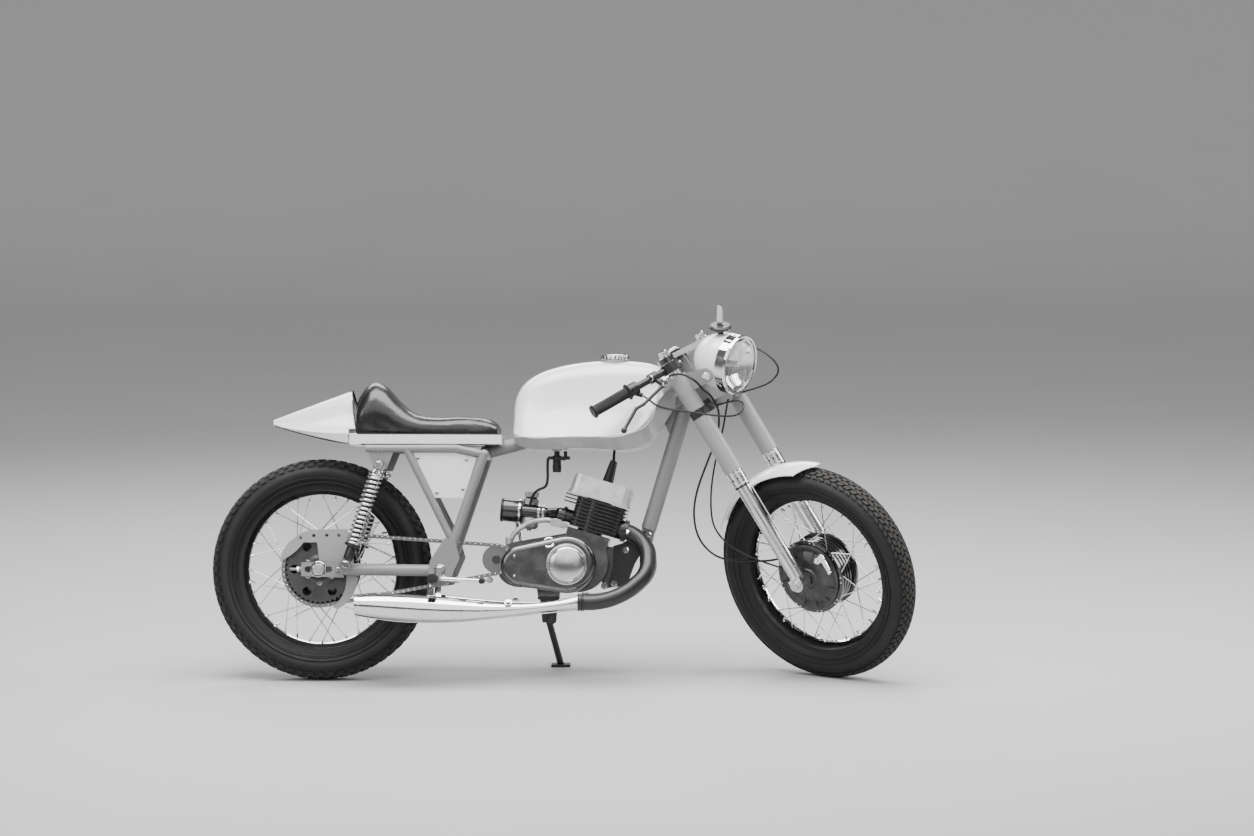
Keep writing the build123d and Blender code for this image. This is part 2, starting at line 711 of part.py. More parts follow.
# Swingarm: two arms, the pivot tube between them and an axle plate at each end
plate_front_x = -655.0
plate_rear_x = -778.0
slot_travel = 31.5
arm_inner = arm_y - axle_plate_half
arm_outer = arm_y + axle_plate_half
pivot_bolt_end = plate_y + plate_thickness + 14
with BuildPart() as swingarm:
    rod((pivot_x, -arm_y, pivot_z), (pivot_x, arm_y, pivot_z), 20)
    rod((pivot_x, -pivot_bolt_end, pivot_z), (pivot_x, pivot_bolt_end, pivot_z), axle_radius)
    for side in (-1, 1):
        y = side * arm_y
        rod((pivot_x, y - 14, pivot_z), (pivot_x, y + 14, pivot_z), 24)
        rod((pivot_x, y, pivot_z), (plate_front_x - 10, y, rear_axle.Z), arm_radius)
        plate(
            [
                (plate_front_x, rear_axle.Z - 24),
                (plate_front_x, rear_axle.Z + 24),
                (plate_rear_x, rear_axle.Z + 20),
                (plate_rear_x, rear_axle.Z - 20),
            ],
            y + axle_plate_half,
            2 * axle_plate_half,
        )
        with BuildSketch(side_plane(y + 2 * axle_plate_half)) as slot:
            with Locations((rear_axle.X, rear_axle.Z)):
                SlotCenterToCenter(2 * slot_travel, 2 * (axle_radius + seat_gap))
        extrude(slot.sketch, amount=4 * axle_plate_half, mode=Mode.SUBTRACT)
        rod((plate_front_x - 17, y, rear_axle.Z), (plate_front_x - 17, side * (arm_outer + 6), rear_axle.Z), 6)
        rod((plate_rear_x + 5, y, rear_axle.Z), (plate_rear_x - 34, y, rear_axle.Z), 4)
        rod((plate_rear_x + 1, y, rear_axle.Z), (plate_rear_x - 8, y, rear_axle.Z), 8)
        rod((shock_bottom[0], y, shock_bottom[1]), (shock_bottom[0], side * (shock_y + 16), shock_bottom[1]), 7)
keep(swingarm.part, "swingarm", chassis)

# Rear axle, with a nut at each end
with BuildPart() as rear_axle_piece:
    rod((rear_axle.X, -arm_outer - 18, rear_axle.Z), (rear_axle.X, arm_outer + 18, rear_axle.Z), axle_radius)
    for side in (-1, 1):
        rod((rear_axle.X, side * (arm_outer + seat_gap), rear_axle.Z),
            (rear_axle.X, side * (arm_outer + 12), rear_axle.Z), 14)
    rod((rear_axle.X, sprocket_boss_y - seat_gap, rear_axle.Z), (rear_axle.X, seat_gap - arm_inner, rear_axle.Z), 13)
keep(rear_axle_piece.part, "rear_axle", chassis)

# Shocks: a damper inside a coil spring, between the frame stud and the swingarm stud
coil_count = 14
spring_radius = 23.0
spring_core = 17.0
for side, name in ((-1, "right"), (1, "left")):
    low = Vector(shock_bottom[0], side * shock_y, shock_bottom[1])
    high = Vector(shock_top[0], side * shock_y, shock_top[1])
    shock_length = (high - low).length
    spring_start = 62.0
    spring_end = shock_length - 26
    coil_pitch = (spring_end - spring_start) / coil_count
    with BuildPart() as shock:
        with BuildSketch(Plane.XZ):
            with BuildLine():
                profile = [(0, 16), (14, 16), (14, spring_start - 4), (spring_radius, spring_start - 4)]
                for coil in range(coil_count):
                    profile.append((spring_core, spring_start + coil * coil_pitch))
                    profile.append((spring_radius, spring_start + (coil + 0.5) * coil_pitch))
                profile += [(spring_core, spring_end), (spring_radius, spring_end + 4)]
                profile += [(12, spring_end + 8), (12, shock_length - 14), (0, shock_length - 14)]
                Polyline(*profile, close=True)
            make_face()
        revolve(axis=Axis.Z)
    shock_placed = shock.part.moved(Plane(origin=low, x_dir=(0, 1, 0), z_dir=high - low).location)
    with BuildPart() as shock:
        add(shock_placed)
        for eye, stud in ((low, 7), (high, 8)):
            rod((eye.X, eye.Y - 12, eye.Z), (eye.X, eye.Y + 12, eye.Z), 18)
        for eye, stud in ((low, 7), (high, 8)):
            drill((eye.X, eye.Y - 20, eye.Z), (eye.X, eye.Y + 20, eye.Z), stud + seat_gap)
    keep(shock.part, f"shock_{name}", chassis)

# Drive chain, one fixed loop round both sprockets, with the front sprocket inside it
# The pins stand at even steps along the tangents and arcs that join the two pitch circles
shaft_run = math.hypot(front_sprocket_x - rear_axle.X, front_sprocket_z - rear_axle.Z)
shaft_slope = math.atan2(front_sprocket_z - rear_axle.Z, front_sprocket_x - rear_axle.X)
wrap = math.acos((rear_pitch_radius - front_pitch_radius) / shaft_run)
straight = shaft_run * math.sin(wrap)
front_arc = front_pitch_radius * 2 * wrap
rear_arc = rear_pitch_radius * 2 * (math.pi - wrap)
loop_length = 2 * straight + front_arc + rear_arc
link_count = 2 * round(loop_length / chain_pitch / 2)


def chain_pin(step):
    """Place of one pin of the chain, as the bike's X and Z."""
    run = (step % link_count) * loop_length / link_count
    rear_x, rear_z = rear_axle.X, rear_axle.Z
    if run < straight:
        turn = shaft_slope + wrap
        shift = run
    elif run < straight + front_arc:
        turn = shaft_slope + wrap - (run - straight) / front_pitch_radius
        return (front_sprocket_x + front_pitch_radius * math.cos(turn),
                front_sprocket_z + front_pitch_radius * math.sin(turn))
    elif run < 2 * straight + front_arc:
        turn = shaft_slope - wrap
        shift = 2 * straight + front_arc - run
    else:
        turn = shaft_slope - wrap - (run - 2 * straight - front_arc) / rear_pitch_radius
        return (rear_x + rear_pitch_radius * math.cos(turn), rear_z + rear_pitch_radius * math.sin(turn))
    share = shift / straight
    start_x, start_z = rear_x + rear_pitch_radius * math.cos(turn), rear_z + rear_pitch_radius * math.sin(turn)
    end_x = front_sprocket_x + front_pitch_radius * math.cos(turn)
    end_z = front_sprocket_z + front_pitch_radius * math.sin(turn)
    return (start_x + (end_x - start_x) * share, start_z + (end_z - start_z) * share)


def link_plates(first, inner_y, outer_y):
    """Side plates of every second link, from this one on, added on both sides of the part being built."""
    spots = []
    for link in range(first, link_count, 2):
        pin_x, pin_z = chain_pin(link)
        next_x, next_z = chain_pin(link + 1)
        slope = math.degrees(math.atan2(next_z - pin_z, next_x - pin_x))
        spots.append(Location(((pin_x + next_x) / 2, (pin_z + next_z) / 2, 0), (0, 0, slope)))
    half = chain_pitch / 2
    quarter = [(half + link_half_height, 2.2), (half + 2.2, link_half_height), (0, link_half_height - link_waist)]
    upper = quarter + [(-a, b) for a, b in reversed(quarter[:-1])]
    outline = upper + [(-a, -b) for a, b in upper]
    with BuildSketch(side_plane(chain_y)) as links:
        with Locations(*spots):
            Polygon(*outline, align=None)
    for side in (-1, 1):
        plates = links.sketch.moved(Location((0, side * (inner_y + outer_y) / 2, 0)))
        extrude(plates, amount=(outer_y - inner_y) / 2, both=True)


link_half_height = 5.8
link_waist = 1.2
plate_y_steps = (3.6, 5.4, 7.2)
with BuildPart() as drive_chain:
    for grow, mode in ((4.0, Mode.ADD), (-roller_radius, Mode.SUBTRACT)):
        with BuildSketch(side_plane(chain_y)):
            with Locations((rear_axle.X, rear_axle.Z)):
                Circle(rear_pitch_radius + grow)
            with Locations((front_sprocket_x, front_sprocket_z)):
                Circle(front_pitch_radius + grow)
            make_hull()
        extrude(amount=plate_y_steps[0] + 0.4, both=True, mode=mode)
    with BuildSketch(side_plane(chain_y)):
        with Locations((front_sprocket_x, front_sprocket_z)):
            Circle(front_pitch_radius)
            Circle(12 + seat_gap, mode=Mode.SUBTRACT)
    extrude(amount=3.5, both=True)
    link_plates(0, plate_y_steps[0], plate_y_steps[1])
    link_plates(1, plate_y_steps[1] - 0.2, plate_y_steps[2])
keep(drive_chain.part, "drive_chain", chassis)

# Chain guard: a plate over the top and front of the rear sprocket
guard_plate_y = chain_y - chain_half_width - 4
guard_thickness = 3.0
flange_depth = 18.0
# columns: x, z
guard_holes = [(-783, 413), (-745, 420), (-707, 421), (-672, 421)]
with BuildPart() as chain_guard:
    with BuildSketch(side_plane(guard_plate_y)):
        with BuildLine():
            Line((-648, 439), (-745, 437))
            ThreePointArc((-745, 437), (-812, 405), (-845, 345))
            ThreePointArc((-845, 345), (-800, 372), (-775, 400))
            Line((-775, 400), (-735, 400))
            Line((-735, 400), (-729, 345))
            Line((-729, 345), (-705, 345))
            Line((-705, 345), (-705, 308))
            Line((-705, 308), (-650, 304))
            ThreePointArc((-650, 304), (-658, 252), (-690, 212))
            Line((-690, 212), (-676, 206))
            ThreePointArc((-676, 206), (-632, 245), (-618, 294))
            Line((-618, 294), (-648, 439))
        make_face()
    extrude(amount=guard_thickness)
    with BuildSketch(side_plane(guard_plate_y + flange_depth)):
        with BuildLine():
            Line((-648, 439), (-745, 437))
            ThreePointArc((-745, 437), (-812, 405), (-845, 345))
            Line((-845, 345), (-842, 344))
            ThreePointArc((-842, 344), (-810, 403), (-745, 434))
            Line((-745, 434), (-647.3, 436))
            Line((-647.3, 436), (-648, 439))
        make_face()
    extrude(amount=flange_depth + guard_thickness)
    with BuildSketch(side_plane(guard_plate_y + 1)):
        with Locations(*guard_holes):
            Circle(5)
    extrude(amount=guard_thickness + 2, mode=Mode.SUBTRACT)
    for boss_x in (-678, -696):
        rod((boss_x, guard_plate_y - 1, 326), (boss_x, seat_gap - arm_inner, 326), 5)
keep(chain_guard.part, "chain_guard", chassis)

# The cylinder stands on an axis that leans forward
cylinder_lean = math.radians(16.5)
deck = Vector(54, 0, 430)
cylinder_axis = Vector(math.sin(cylinder_lean), 0, math.cos(cylinder_lean))
cylinder_ahead = Vector(math.cos(cylinder_lean), 0, -math.sin(cylinder_lean))
cylinder_frame = Plane(origin=deck, x_dir=cylinder_ahead, z_dir=cylinder_axis)

# Crankcase with its left cover, its neck under the cylinder and a pocket for the chain
case_half_width = 84.0
barrel_y = 46.0
pad_z = 244.0
shaft_radius = 12.0
shaft_start_y = -40.0
pocket_gap = 5.0
pocket_inner = chain_y + chain_half_width + pocket_gap
pocket_width = 2 * chain_half_width + pocket_gap + 9
neck = []
for reach, drop in ((-64, 0), (64, 0), (60, -60), (-60, -60)):
    corner = deck + cylinder_ahead * reach + cylinder_axis * drop
    neck.append((corner.X, corner.Z))


def chain_pocket():
    """Room for the front sprocket and the chain that leaves it, cut from the part being built."""
    with BuildSketch(side_plane(pocket_inner)) as room:
        with Locations((front_sprocket_x, front_sprocket_z)):
            Circle(front_pitch_radius + 6 + pocket_gap)
        with Locations((front_sprocket_x - 200, front_sprocket_z)):
            Circle(front_pitch_radius + 6 + pocket_gap + 20)
        make_hull()
    extrude(room.sketch, amount=pocket_width, mode=Mode.SUBTRACT)


with BuildPart() as crankcase:
    with BuildSketch(side_plane(0)):
        with Locations((22, 345)):
            Circle(88)
        with Locations((-150, 338)):
            Circle(66)
        make_hull()
    extrude(amount=case_half_width, both=True)
    with BuildSketch(side_plane(case_half_width + 38)):
        with Locations((10, 345)):
            Circle(78)
        with Locations((-150, 338)):
            Circle(58)
        make_hull()
    extrude(amount=39)
    plate(neck, case_half_width, 2 * case_half_width)
    plate([(-100, pad_z), (-36, pad_z), (-30, 290), (-106, 290)], 92, 50)
    plate([(90, 280), (150, 284), (172, 340), (150, 386), (90, 392)], lug_half, 2 * lug_half)
    chain_pocket()
    rod((front_sprocket_x, shaft_start_y, front_sprocket_z), (front_sprocket_x, chain_y - 9, front_sprocket_z), shaft_radius)
keep(crankcase.part, "crankcase", chassis)

# Right engine cover and the round generator cover on it
cover_face = -118.0
generator_x = -8.0
generator_z = 338.0
with BuildPart() as right_cover:
    with BuildSketch(side_plane(-case_half_width - seat_gap)):
        with Locations((generator_x, generator_z)):
            Circle(84)
        with Locations((-140, 334)):
            Circle(60)
        make_hull()
    extrude(amount=-cover_face - case_half_width - seat_gap)
    fillet(right_cover.faces().sort_by(Axis.Y)[0].edges(), 16)
    chain_pocket()
keep(right_cover.part, "right_cover", chassis)
with BuildPart() as generator_cover:
    turned([
        (0, cover_face - seat_gap),
        (61, cover_face - seat_gap),
        (61, cover_face - 9),
        (54, cover_face - 14),
        (0, cover_face - 18),
    ])
keep(generator_cover.part.moved(Location((generator_x, 0, generator_z))), "generator_cover", chassis)

# Two barrels side by side, each with its own fins and head
fin_count = 9
fin_spacing = 10.5
fin_thickness = 4.0
fin_width = 2 * barrel_y - 2
fin_front = 91.0
barrel_radius = 36.0
port_height = 34.0
port_end = 92.0
stub_height = 30.0
stub_end = 82.0
head_start = fin_count * fin_spacing + 4
# columns: first fin, how far it and the fins above it reach to the rear
fin_steps = [(0, 62), (3, 56), (6, 96)]
with BuildPart() as cylinder:
    for side in (-1, 1):
        y = side * barrel_y
        with BuildSketch(Plane.XY.offset(seat_gap)) as barrel:
            with Locations((0, y)):
                Circle(barrel_radius)
        extrude(barrel.sketch, amount=head_start - 2 * seat_gap)
        for fin in range(fin_count):
            rear = [reach for first, reach in fin_steps if first <= fin][-1]
            with BuildSketch(Plane.XY.offset(6 + fin * fin_spacing)) as blade:
                with Locations(((fin_front - rear) / 2, y)):
                    Rectangle(fin_front + rear, fin_width)
                fillet(blade.vertices().group_by(Axis.X)[-1], 44)
                fillet(blade.vertices().group_by(Axis.X)[0], 12)
            extrude(blade.sketch, amount=fin_thickness)
        rod((-20, y, stub_height), (-stub_end, y, stub_height), 19)
        rod((20, y, port_height), (port_end, y, port_height), 27)
keep(cylinder.part.moved(cylinder_frame.location), "cylinder", chassis)

# Heads: a smooth box on a flange, slotted lengthwise from the front and the top
head_height = 58.0
head_slot = 6.0
head_reach = 89.0
plug_ahead = 8.0
plug_well = 21.0
with BuildPart() as cylinder_head:
    for side in (-1, 1):
        y = side * barrel_y
        with BuildSketch(Plane.XY.offset(head_start)) as foot:
            with Locations((0, y)):
                RectangleRounded(2 * head_reach + 6, fin_width, 24)
        extrude(foot.sketch, amount=9)
        with BuildSketch(Plane.XY.offset(head_start + 8)) as box:
            with Locations((0, y)):
                RectangleRounded(2 * head_reach, fin_width - 4, 24)
        extrude(box.sketch, amount=head_height - 8, taper=2)
        for slot in (-1.5, -0.5, 0.5, 1.5):
            slot_y = y + slot * 3 * head_slot
            with BuildSketch(Plane.XY.offset(head_start + 14)) as front_slot:
                with Locations((head_reach, slot_y)):
                    Rectangle(70, head_slot)
            extrude(front_slot.sketch, amount=head_height, mode=Mode.SUBTRACT)
            with BuildSketch(Plane.XY.offset(head_start + 44)) as top_slot:
                with Locations((0, slot_y)):
                    Rectangle(3 * head_reach, head_slot)
            extrude(top_slot.sketch, amount=head_height, mode=Mode.SUBTRACT)
        drill((plug_ahead, y, head_start + head_height + 4), (plug_ahead, y, head_start + 30), plug_well)
keep(cylinder_head.part.moved(cylinder_frame.location), "cylinder_head", chassis)

# Spark plug caps, with their leads up to the coil under the backbone
plug_foot = head_start + 30 + seat_gap
plug_length = 92.0
coil_radius = 17.0
plug_top = deck + cylinder_axis * (plug_foot + plug_length) + cylinder_ahead * plug_ahead
coil_x = plug_top.X
coil_place = backbone_rear + backbone_run * ((coil_x - backbone_rear.X) / backbone_run.X)
coil_place = coil_place - backbone_up * (backbone_radius + coil_radius + seat_gap)
with BuildPart() as plug_cap:
    with BuildSketch(Plane.XZ):
        with BuildLine():
            Polyline((0, plug_foot), (14, plug_foot), (14, plug_foot + 34), (9, plug_foot + plug_length),
                     (0, plug_foot + plug_length), close=True)
        make_face()
    revolve(axis=Axis.Z)
caps = [
    plug_cap.part.moved(cylinder_frame.location * Location((plug_ahead, side * barrel_y, 0))) for side in (-1, 1)
]
with BuildPart() as plug_cap:
    add(caps)
    for side in (-1, 1):
        lead_foot = Vector(plug_top.X, side * barrel_y, plug_top.Z) - cylinder_axis * 4
        lead_bend = Vector(coil_x, side * 15, plug_top.Z + 22)
        rod(lead_foot, lead_bend, 3.5)
        with Locations(lead_bend):
            Sphere(3.5)
        rod(lead_bend, coil_place, 3.5)
    rod(coil_place - backbone_run * 30, coil_place + backbone_run * 30, coil_radius)
keep(plug_cap.part, "plug_cap_and_coil", chassis)

# Carburettor behind the barrels, with the branched inlet pipe, its clamps and the air filter
intake = deck + cylinder_axis * stub_height - cylinder_ahead * (stub_end + seat_gap)
level = Vector(-1, 0, 0.08).normalized()
upright = Vector(0.08, 0, 1).normalized()
with BuildPart() as carburettor:
    branch = intake + level * 52
    for side in (-1, 1):
        branch_start = intake + Vector(0, side * barrel_y, 0)
        rod(branch_start, branch_start - cylinder_ahead * 7, 24)
        rod(branch_start - cylinder_ahead * 5, branch_start - cylinder_ahead * 20, 18)
        rod(branch_start - cylinder_ahead * 16, branch, 16)
    rod(branch - level * 16, intake + level * 86, 19)
    for clamp_run in (62, 75):
        rod(intake + level * clamp_run, intake + level * (clamp_run + 8), 22)
    barrel = intake + level * 104
    rod(intake + level * 84, intake + level * 128, 23)
    rod(barrel - upright * 50, barrel + upright * 58, 17)
    rod(intake + level * 127, intake + level * 190, 34)
keep(carburettor.part, "carburettor", chassis)

# Engine mounting plates between the downtube's foot and the crankcase
with BuildPart() as engine_plates:
    for plate_side in (-1, 1):
        plate(
            [(104, 268), (163, 277), (186, 340), (238, 428), (212, 436), (150, 400), (123, 392), (122, 330)],
            plate_side * (lug_half + seat_gap + 2.5) + 2.5,
            5,
        )
keep(engine_plates.part, "engine_plates", chassis)

# Exhaust headers, one pipe each side round the front of the engine to its muffler
header_radius = 23.0
joint_x = 26.0
joint_z = 229.0
muffler_y = 166.0
port_place = deck + cylinder_axis * port_height + cylinder_ahead * (port_end + seat_gap)
bend_x = 222.0
bend_start = port_place + cylinder_ahead * ((bend_x - port_place.X) / cylinder_ahead.X)
with BuildPart() as exhaust_header:
    for side in (-1, 1):
        bent_rod(
            [
                (port_place.X, side * barrel_y, port_place.Z),
                (bend_x, side * barrel_y, bend_start.Z),
                (227, side * 112, 313),
                (133, side * muffler_y, joint_z),
                (joint_x, side * muffler_y, joint_z),
            ],
            [88, 90, 180],
            header_radius,
        )
keep(exhaust_header.part, "exhaust_header", chassis)

# Mufflers: a long cone each, closing a little at the rear end
# columns: x, height of the middle, radius
muffler_sections = [
    (joint_x - seat_gap, joint_z, 21),
    (-255, 205, 27),
    (-340, 206, 35),
    (-486, 213, 40),
    (-616, 220, 30),
]
hanger_y = plate_y + plate_thickness + seat_gap
hanger_thickness = 5.0
with BuildPart() as muffler:
    for side in (-1, 1):
        for section_x, section_z, section_radius in muffler_sections:
            section_origin = (section_x, side * muffler_y, section_z)
            with BuildSketch(Plane(origin=section_origin, x_dir=(0, 1, 0), z_dir=(1, 0, 0))):
                Circle(section_radius)
        loft()
        last_x, last_z, last_radius = muffler_sections[-1]
        drill((last_x - 1, side * muffler_y, last_z), (last_x + 90, side * muffler_y, last_z - 4), last_radius - 8)
        plate(
            [(-412, 228), (-392, 228), (-390, 286), (-408, 286)],
            side * (hanger_y + hanger_thickness / 2) + hanger_thickness / 2,
            hanger_thickness,
        )
keep(muffler.part, "muffler", chassis)


def arch(x, bottom_z, crease_z, shoulder_z, top_z, bottom_half, crease_half, shoulder_half):
    """Cross-section of the tank or tail: flat bottom, lower band, then flanks and top in arcs."""
    with BuildSketch(Plane(origin=(x, 0, 0), x_dir=(0, 1, 0), z_dir=(1, 0, 0))) as section:
        with BuildLine():
            rise = top_z - shoulder_z
            top_arc = (shoulder_half**2 + rise**2) / (2 * rise)
            slope = math.asin(min(1.0, shoulder_half / top_arc))
            Line((-bottom_half, bottom_z), (bottom_half, bottom_z))
            Line((bottom_half, bottom_z), (crease_half, crease_z))
            TangentArc((shoulder_half, shoulder_z), (crease_half, crease_z), tangent=(math.cos(slope), -math.sin(slope)))
            ThreePointArc((shoulder_half, shoulder_z), (0, top_z), (-shoulder_half, shoulder_z))
            TangentArc((-shoulder_half, shoulder_z), (-crease_half, crease_z), tangent=(-math.cos(slope), -math.sin(slope)))
            Line((-crease_half, crease_z), (-bottom_half, bottom_z))
        make_face()
    return section.sketch


# Fuel tank
# columns: x, bottom, crease, shoulder, top, half widths at bottom, crease and shoulder
tank_sections = [
    (-166, 700, 722, 780, 802, 56, 76, 36),
    (-140, 678, 708, 828, 862, 78, 106, 50),
    (-40, 672, 706, 862, 914, 92, 126, 58),
    (90, 672, 706, 878, 932, 96, 130, 62),
    (190, 674, 726, 880, 930, 88, 124, 58),
    (246, 708, 792, 882, 920, 66, 98, 50),
    (304, 796, 832, 856, 874, 36, 48, 26),
]
tunnel_half_width = 25.0
tunnel_rise = tank_pad_rise / backbone_run.X
cap_x = 126.0
tap_x = -40.0
tap_y = -58.0
tap_top = 667.0
with BuildPart() as fuel_tank:
    sections = Sketch() + [arch(*row) for row in tank_sections]
    loft(sections.faces())
    with BuildSketch(side_plane(0)):
        with BuildLine():
            Polyline(
                (backbone_rear.X, 640),
                (backbone_rear.X, backbone_rear.Z + tunnel_rise),
                (backbone_front.X, backbone_front.Z + tunnel_rise),
                (backbone_front.X, 640),
                close=True,
            )
        make_face()
    extrude(amount=tunnel_half_width, both=True, mode=Mode.SUBTRACT)
    with BuildSketch(Plane.XY.offset(900)):
        with Locations((cap_x, 0)):
            Circle(32)
    extrude(amount=35)
    rod((tap_x, tap_y, 700), (tap_x, tap_y, tap_top), 15)
keep(fuel_tank.part, "fuel_tank", chassis)
with BuildPart() as fuel_cap:
    with BuildSketch(Plane.XZ):
        with BuildLine():
            Polyline(
                (0, 935.3), (42, 935.3), (43, 938), (43, 948), (39, 951), (0, 953), close=True
            )
        make_face()
    revolve(axis=Axis.Z)
keep(fuel_cap.part.moved(Location((cap_x, 0, 0))), "fuel_cap", chassis)

# Fuel tap under the tank
with BuildPart() as fuel_tap:
    rod((tap_x, tap_y, tap_top - seat_gap), (tap_x, tap_y, 640), 8)
    rod((tap_x, tap_y, 654), (tap_x, tap_y, 605), 12)
    rod((tap_x - 26, tap_y, 647), (tap_x + 38, tap_y, 647), 5)
    rod((tap_x + 25, tap_y, 645), (tap_x + 25, tap_y, 667), 5)
keep(fuel_tap.part, "fuel_tap", chassis)

# Seat pad, flat in front and rising to a hump behind the rider
# columns: x, bottom, crease, shoulder, top, half widths at bottom, crease and shoulder
seat_bottom = tray_z + 6.3
seat_sections = [
    (-630, seat_bottom, 715, 790, 838, 96, 100, 52),
    (-575, seat_bottom, 715, 812, 880, 100, 104, 54),
    (-520, seat_bottom, 715, 790, 850, 102, 106, 60),
    (-455, seat_bottom, 715, 755, 778, 100, 106, 78),
    (-300, seat_bottom, 715, 752, 772, 92, 96, 72),
    (-203, seat_bottom, 712, 745, 762, 76, 82, 60),
]


def backbone_notch():
    """Room for the rear of the backbone, cut from the part being built."""
    with BuildSketch(Plane.XY.offset(640)) as room:
        with Locations((cross_x + 30, 0)):
            Rectangle(70, 2 * backbone_radius + 12)
    extrude(room.sketch, amount=64, mode=Mode.SUBTRACT)


with BuildPart() as seat_pad:
    sections = Sketch() + [arch(*row) for row in seat_sections]
    loft(sections.faces())
    backbone_notch()
keep(seat_pad.part, "seat_pad", chassis)

# Tail cowl: a thin pointed shell with an open front, and the tray that runs forward under the seat
# columns: x, bottom, crease, shoulder, top, half widths at bottom, crease and shoulder
tail_sections = [
    (-874, 742, 747, 752, 758, 5, 8, 5),
    (-800, 721, 728, 765, 786, 52, 60, 30),
    (-715, 701, 719, 782, 818, 88, 96, 48),
    (-600, 684, 713, 803, 858, 108, 118, 60),
]
tail_wall = 3.0
tray_front = -200.0
with BuildPart() as tail_cowl:
    outer = Sketch() + [arch(*row) for row in tail_sections]
    loft(outer.faces())
    inner_rows = []
    for x, bottom, crease, shoulder, top, bottom_half, crease_half, shoulder_half in tail_sections[1:]:
        inner_rows.append((
            x, bottom + tail_wall, crease, shoulder - tail_wall, top - tail_wall,
            bottom_half - tail_wall, crease_half - tail_wall, shoulder_half - 1,
        ))
    inner = Sketch() + [arch(*row) for row in inner_rows]
    loft(inner.faces(), mode=Mode.SUBTRACT)
    split(bisect_by=Plane(origin=(-643, 0, 843), x_dir=(0, 1, 0), z_dir=(-0.98, 0, -0.19)), keep=Keep.TOP)
    with BuildSketch(Plane.XY.offset(tray_z)):
        with BuildLine():
            Polyline((tray_front, 92), (-400, 112), (-640, 115), (-640, -115), (-400, -112), (tray_front, -92), close=True)
        make_face()
    extrude(amount=29)
    with BuildSketch(Plane.XY.offset(tray_z + 6)):
        with BuildLine():
            Polyline((tray_front - 3, 89), (-400, 109), (-644, 112), (-644, -112), (-400, -109), (tray_front - 3, -89), close=True)
        make_face()
    extrude(amount=40, mode=Mode.SUBTRACT)
    backbone_notch()
keep(tail_cowl.part, "tail_cowl", chassis)

# Side box: a bright panel each side of the space under the seat
with BuildPart() as side_box:
    plate(
        [(-455.3, 660.5), (-334, 660.5), (-270.5, 646.5), (-307.9, 530), (-390.7, 530)],
        side_y,
        2 * side_y,
    )
keep(side_box.part, "side_box", chassis)

# Side stand, on a tilted pivot that swings its foot from out on the left to along the bike
stand_pivot = Vector(-68, 99, 180)
stand_foot_x = -40.0
stand_foot_y = 236.0
stand_foot_height = 8.0
foot_in_world = (parked * Location((stand_foot_x, stand_foot_y, 0))).position
to_bike = parked.inverse()
stand_foot = (to_bike * Location((foot_in_world.X, foot_in_world.Y, stand_foot_height - 2))).position
pad_place = to_bike * Location((foot_in_world.X, foot_in_world.Y, 0))
stand_down = (stand_foot - stand_pivot).normalized()
stand_up = Vector(-1, 0.01, 0)
stand_swing = stand_down - stand_up
stand_axis = (Vector(0, 1, 0) - stand_swing * (stand_swing.Y / stand_swing.dot(stand_swing))).normalized()
barrel_length = 26.0

# Its bracket, bolted under a pad at the left of the crankcase
with BuildPart() as stand_bracket:
    plate([(-100, pad_z - seat_gap), (-36, pad_z - seat_gap), (-36, pad_z - 10), (-100, pad_z - 10)], 92, 50)
    plate([(-96, pad_z - 5), (-40, pad_z - 5), (-48, 166), (-88, 166)], 92, 14)
    rod(stand_pivot - stand_axis * 24, stand_pivot - stand_axis * seat_gap, 14)
keep(stand_bracket.part, "stand_bracket", chassis)
with BuildPart() as side_stand:
    rod(stand_pivot, stand_pivot + stand_axis * barrel_length, 13)
    rod(stand_pivot + stand_axis * (barrel_length - 10), stand_foot, 10)
foot_pad = pad_place * Pos(0, 0, stand_foot_height / 2) * Box(56, 40, stand_foot_height)
keep(side_stand.part + foot_pad, "side_stand", stand)

# Footrests, brake pedal and gear lever, on the pivot plates
for side, name in ((-1, "right"), (1, "left")):
    base = side * (plate_y + plate_thickness + seat_gap)
    with BuildPart() as rearset:
        plate([(-402, 290), (-360, 290), (-352, 304), (-402, 304)], base + (6 if side > 0 else 0), 6)
        rod((-390, base, 297), (-390, side * 232, 297), 11)
        rod((-376, side * 150, 296), (-250, side * 156, 290), 6)
        rod((-376, base, 296), (-376, side * 156, 296), 8)
        rod((-250, side * 148, 290), (-250, side * 190, 290), 8)
    keep(rearset.part, f"rearset_{name}", chassis)

# Kick starter on the left cover
with BuildPart() as kick_starter:
    kick_y = case_half_width + 38 + seat_gap
    rod((-140, kick_y, 345), (-140, kick_y + 26, 345), 13)
    rod((-140, kick_y + 16, 345), (-176, kick_y + 22, 500), 8)
    rod((-176, kick_y + 14, 500), (-176, kick_y + 84, 500), 9)
keep(kick_starter.part, "kick_starter", chassis)

# The origin goes to the floor under the middle of the parked bike
placed = []
for place, pieces in (
    (parked, chassis),
    (parked * steered, steering),
    (parked * front_wheel_place, front_wheel),
    (parked * rear_wheel_place, rear_wheel),
    (parked, stand),
):
    for piece in pieces:
        moved = piece.moved(place)
        moved.label = piece.label
        placed.append(moved)
extents = [piece.bounding_box() for piece in placed]
middle_x = (min(box.min.X for box in extents) + max(box.max.X for box in extents)) / 2
middle_y = (min(box.min.Y for box in extents) + max(box.max.Y for box in extents)) / 2
to_origin = Location((-middle_x, -middle_y, 0))
for piece in placed:
    final = piece.moved(to_origin)
    final.label = piece.label
    export_step(final, f"parts/{final.label}.step")
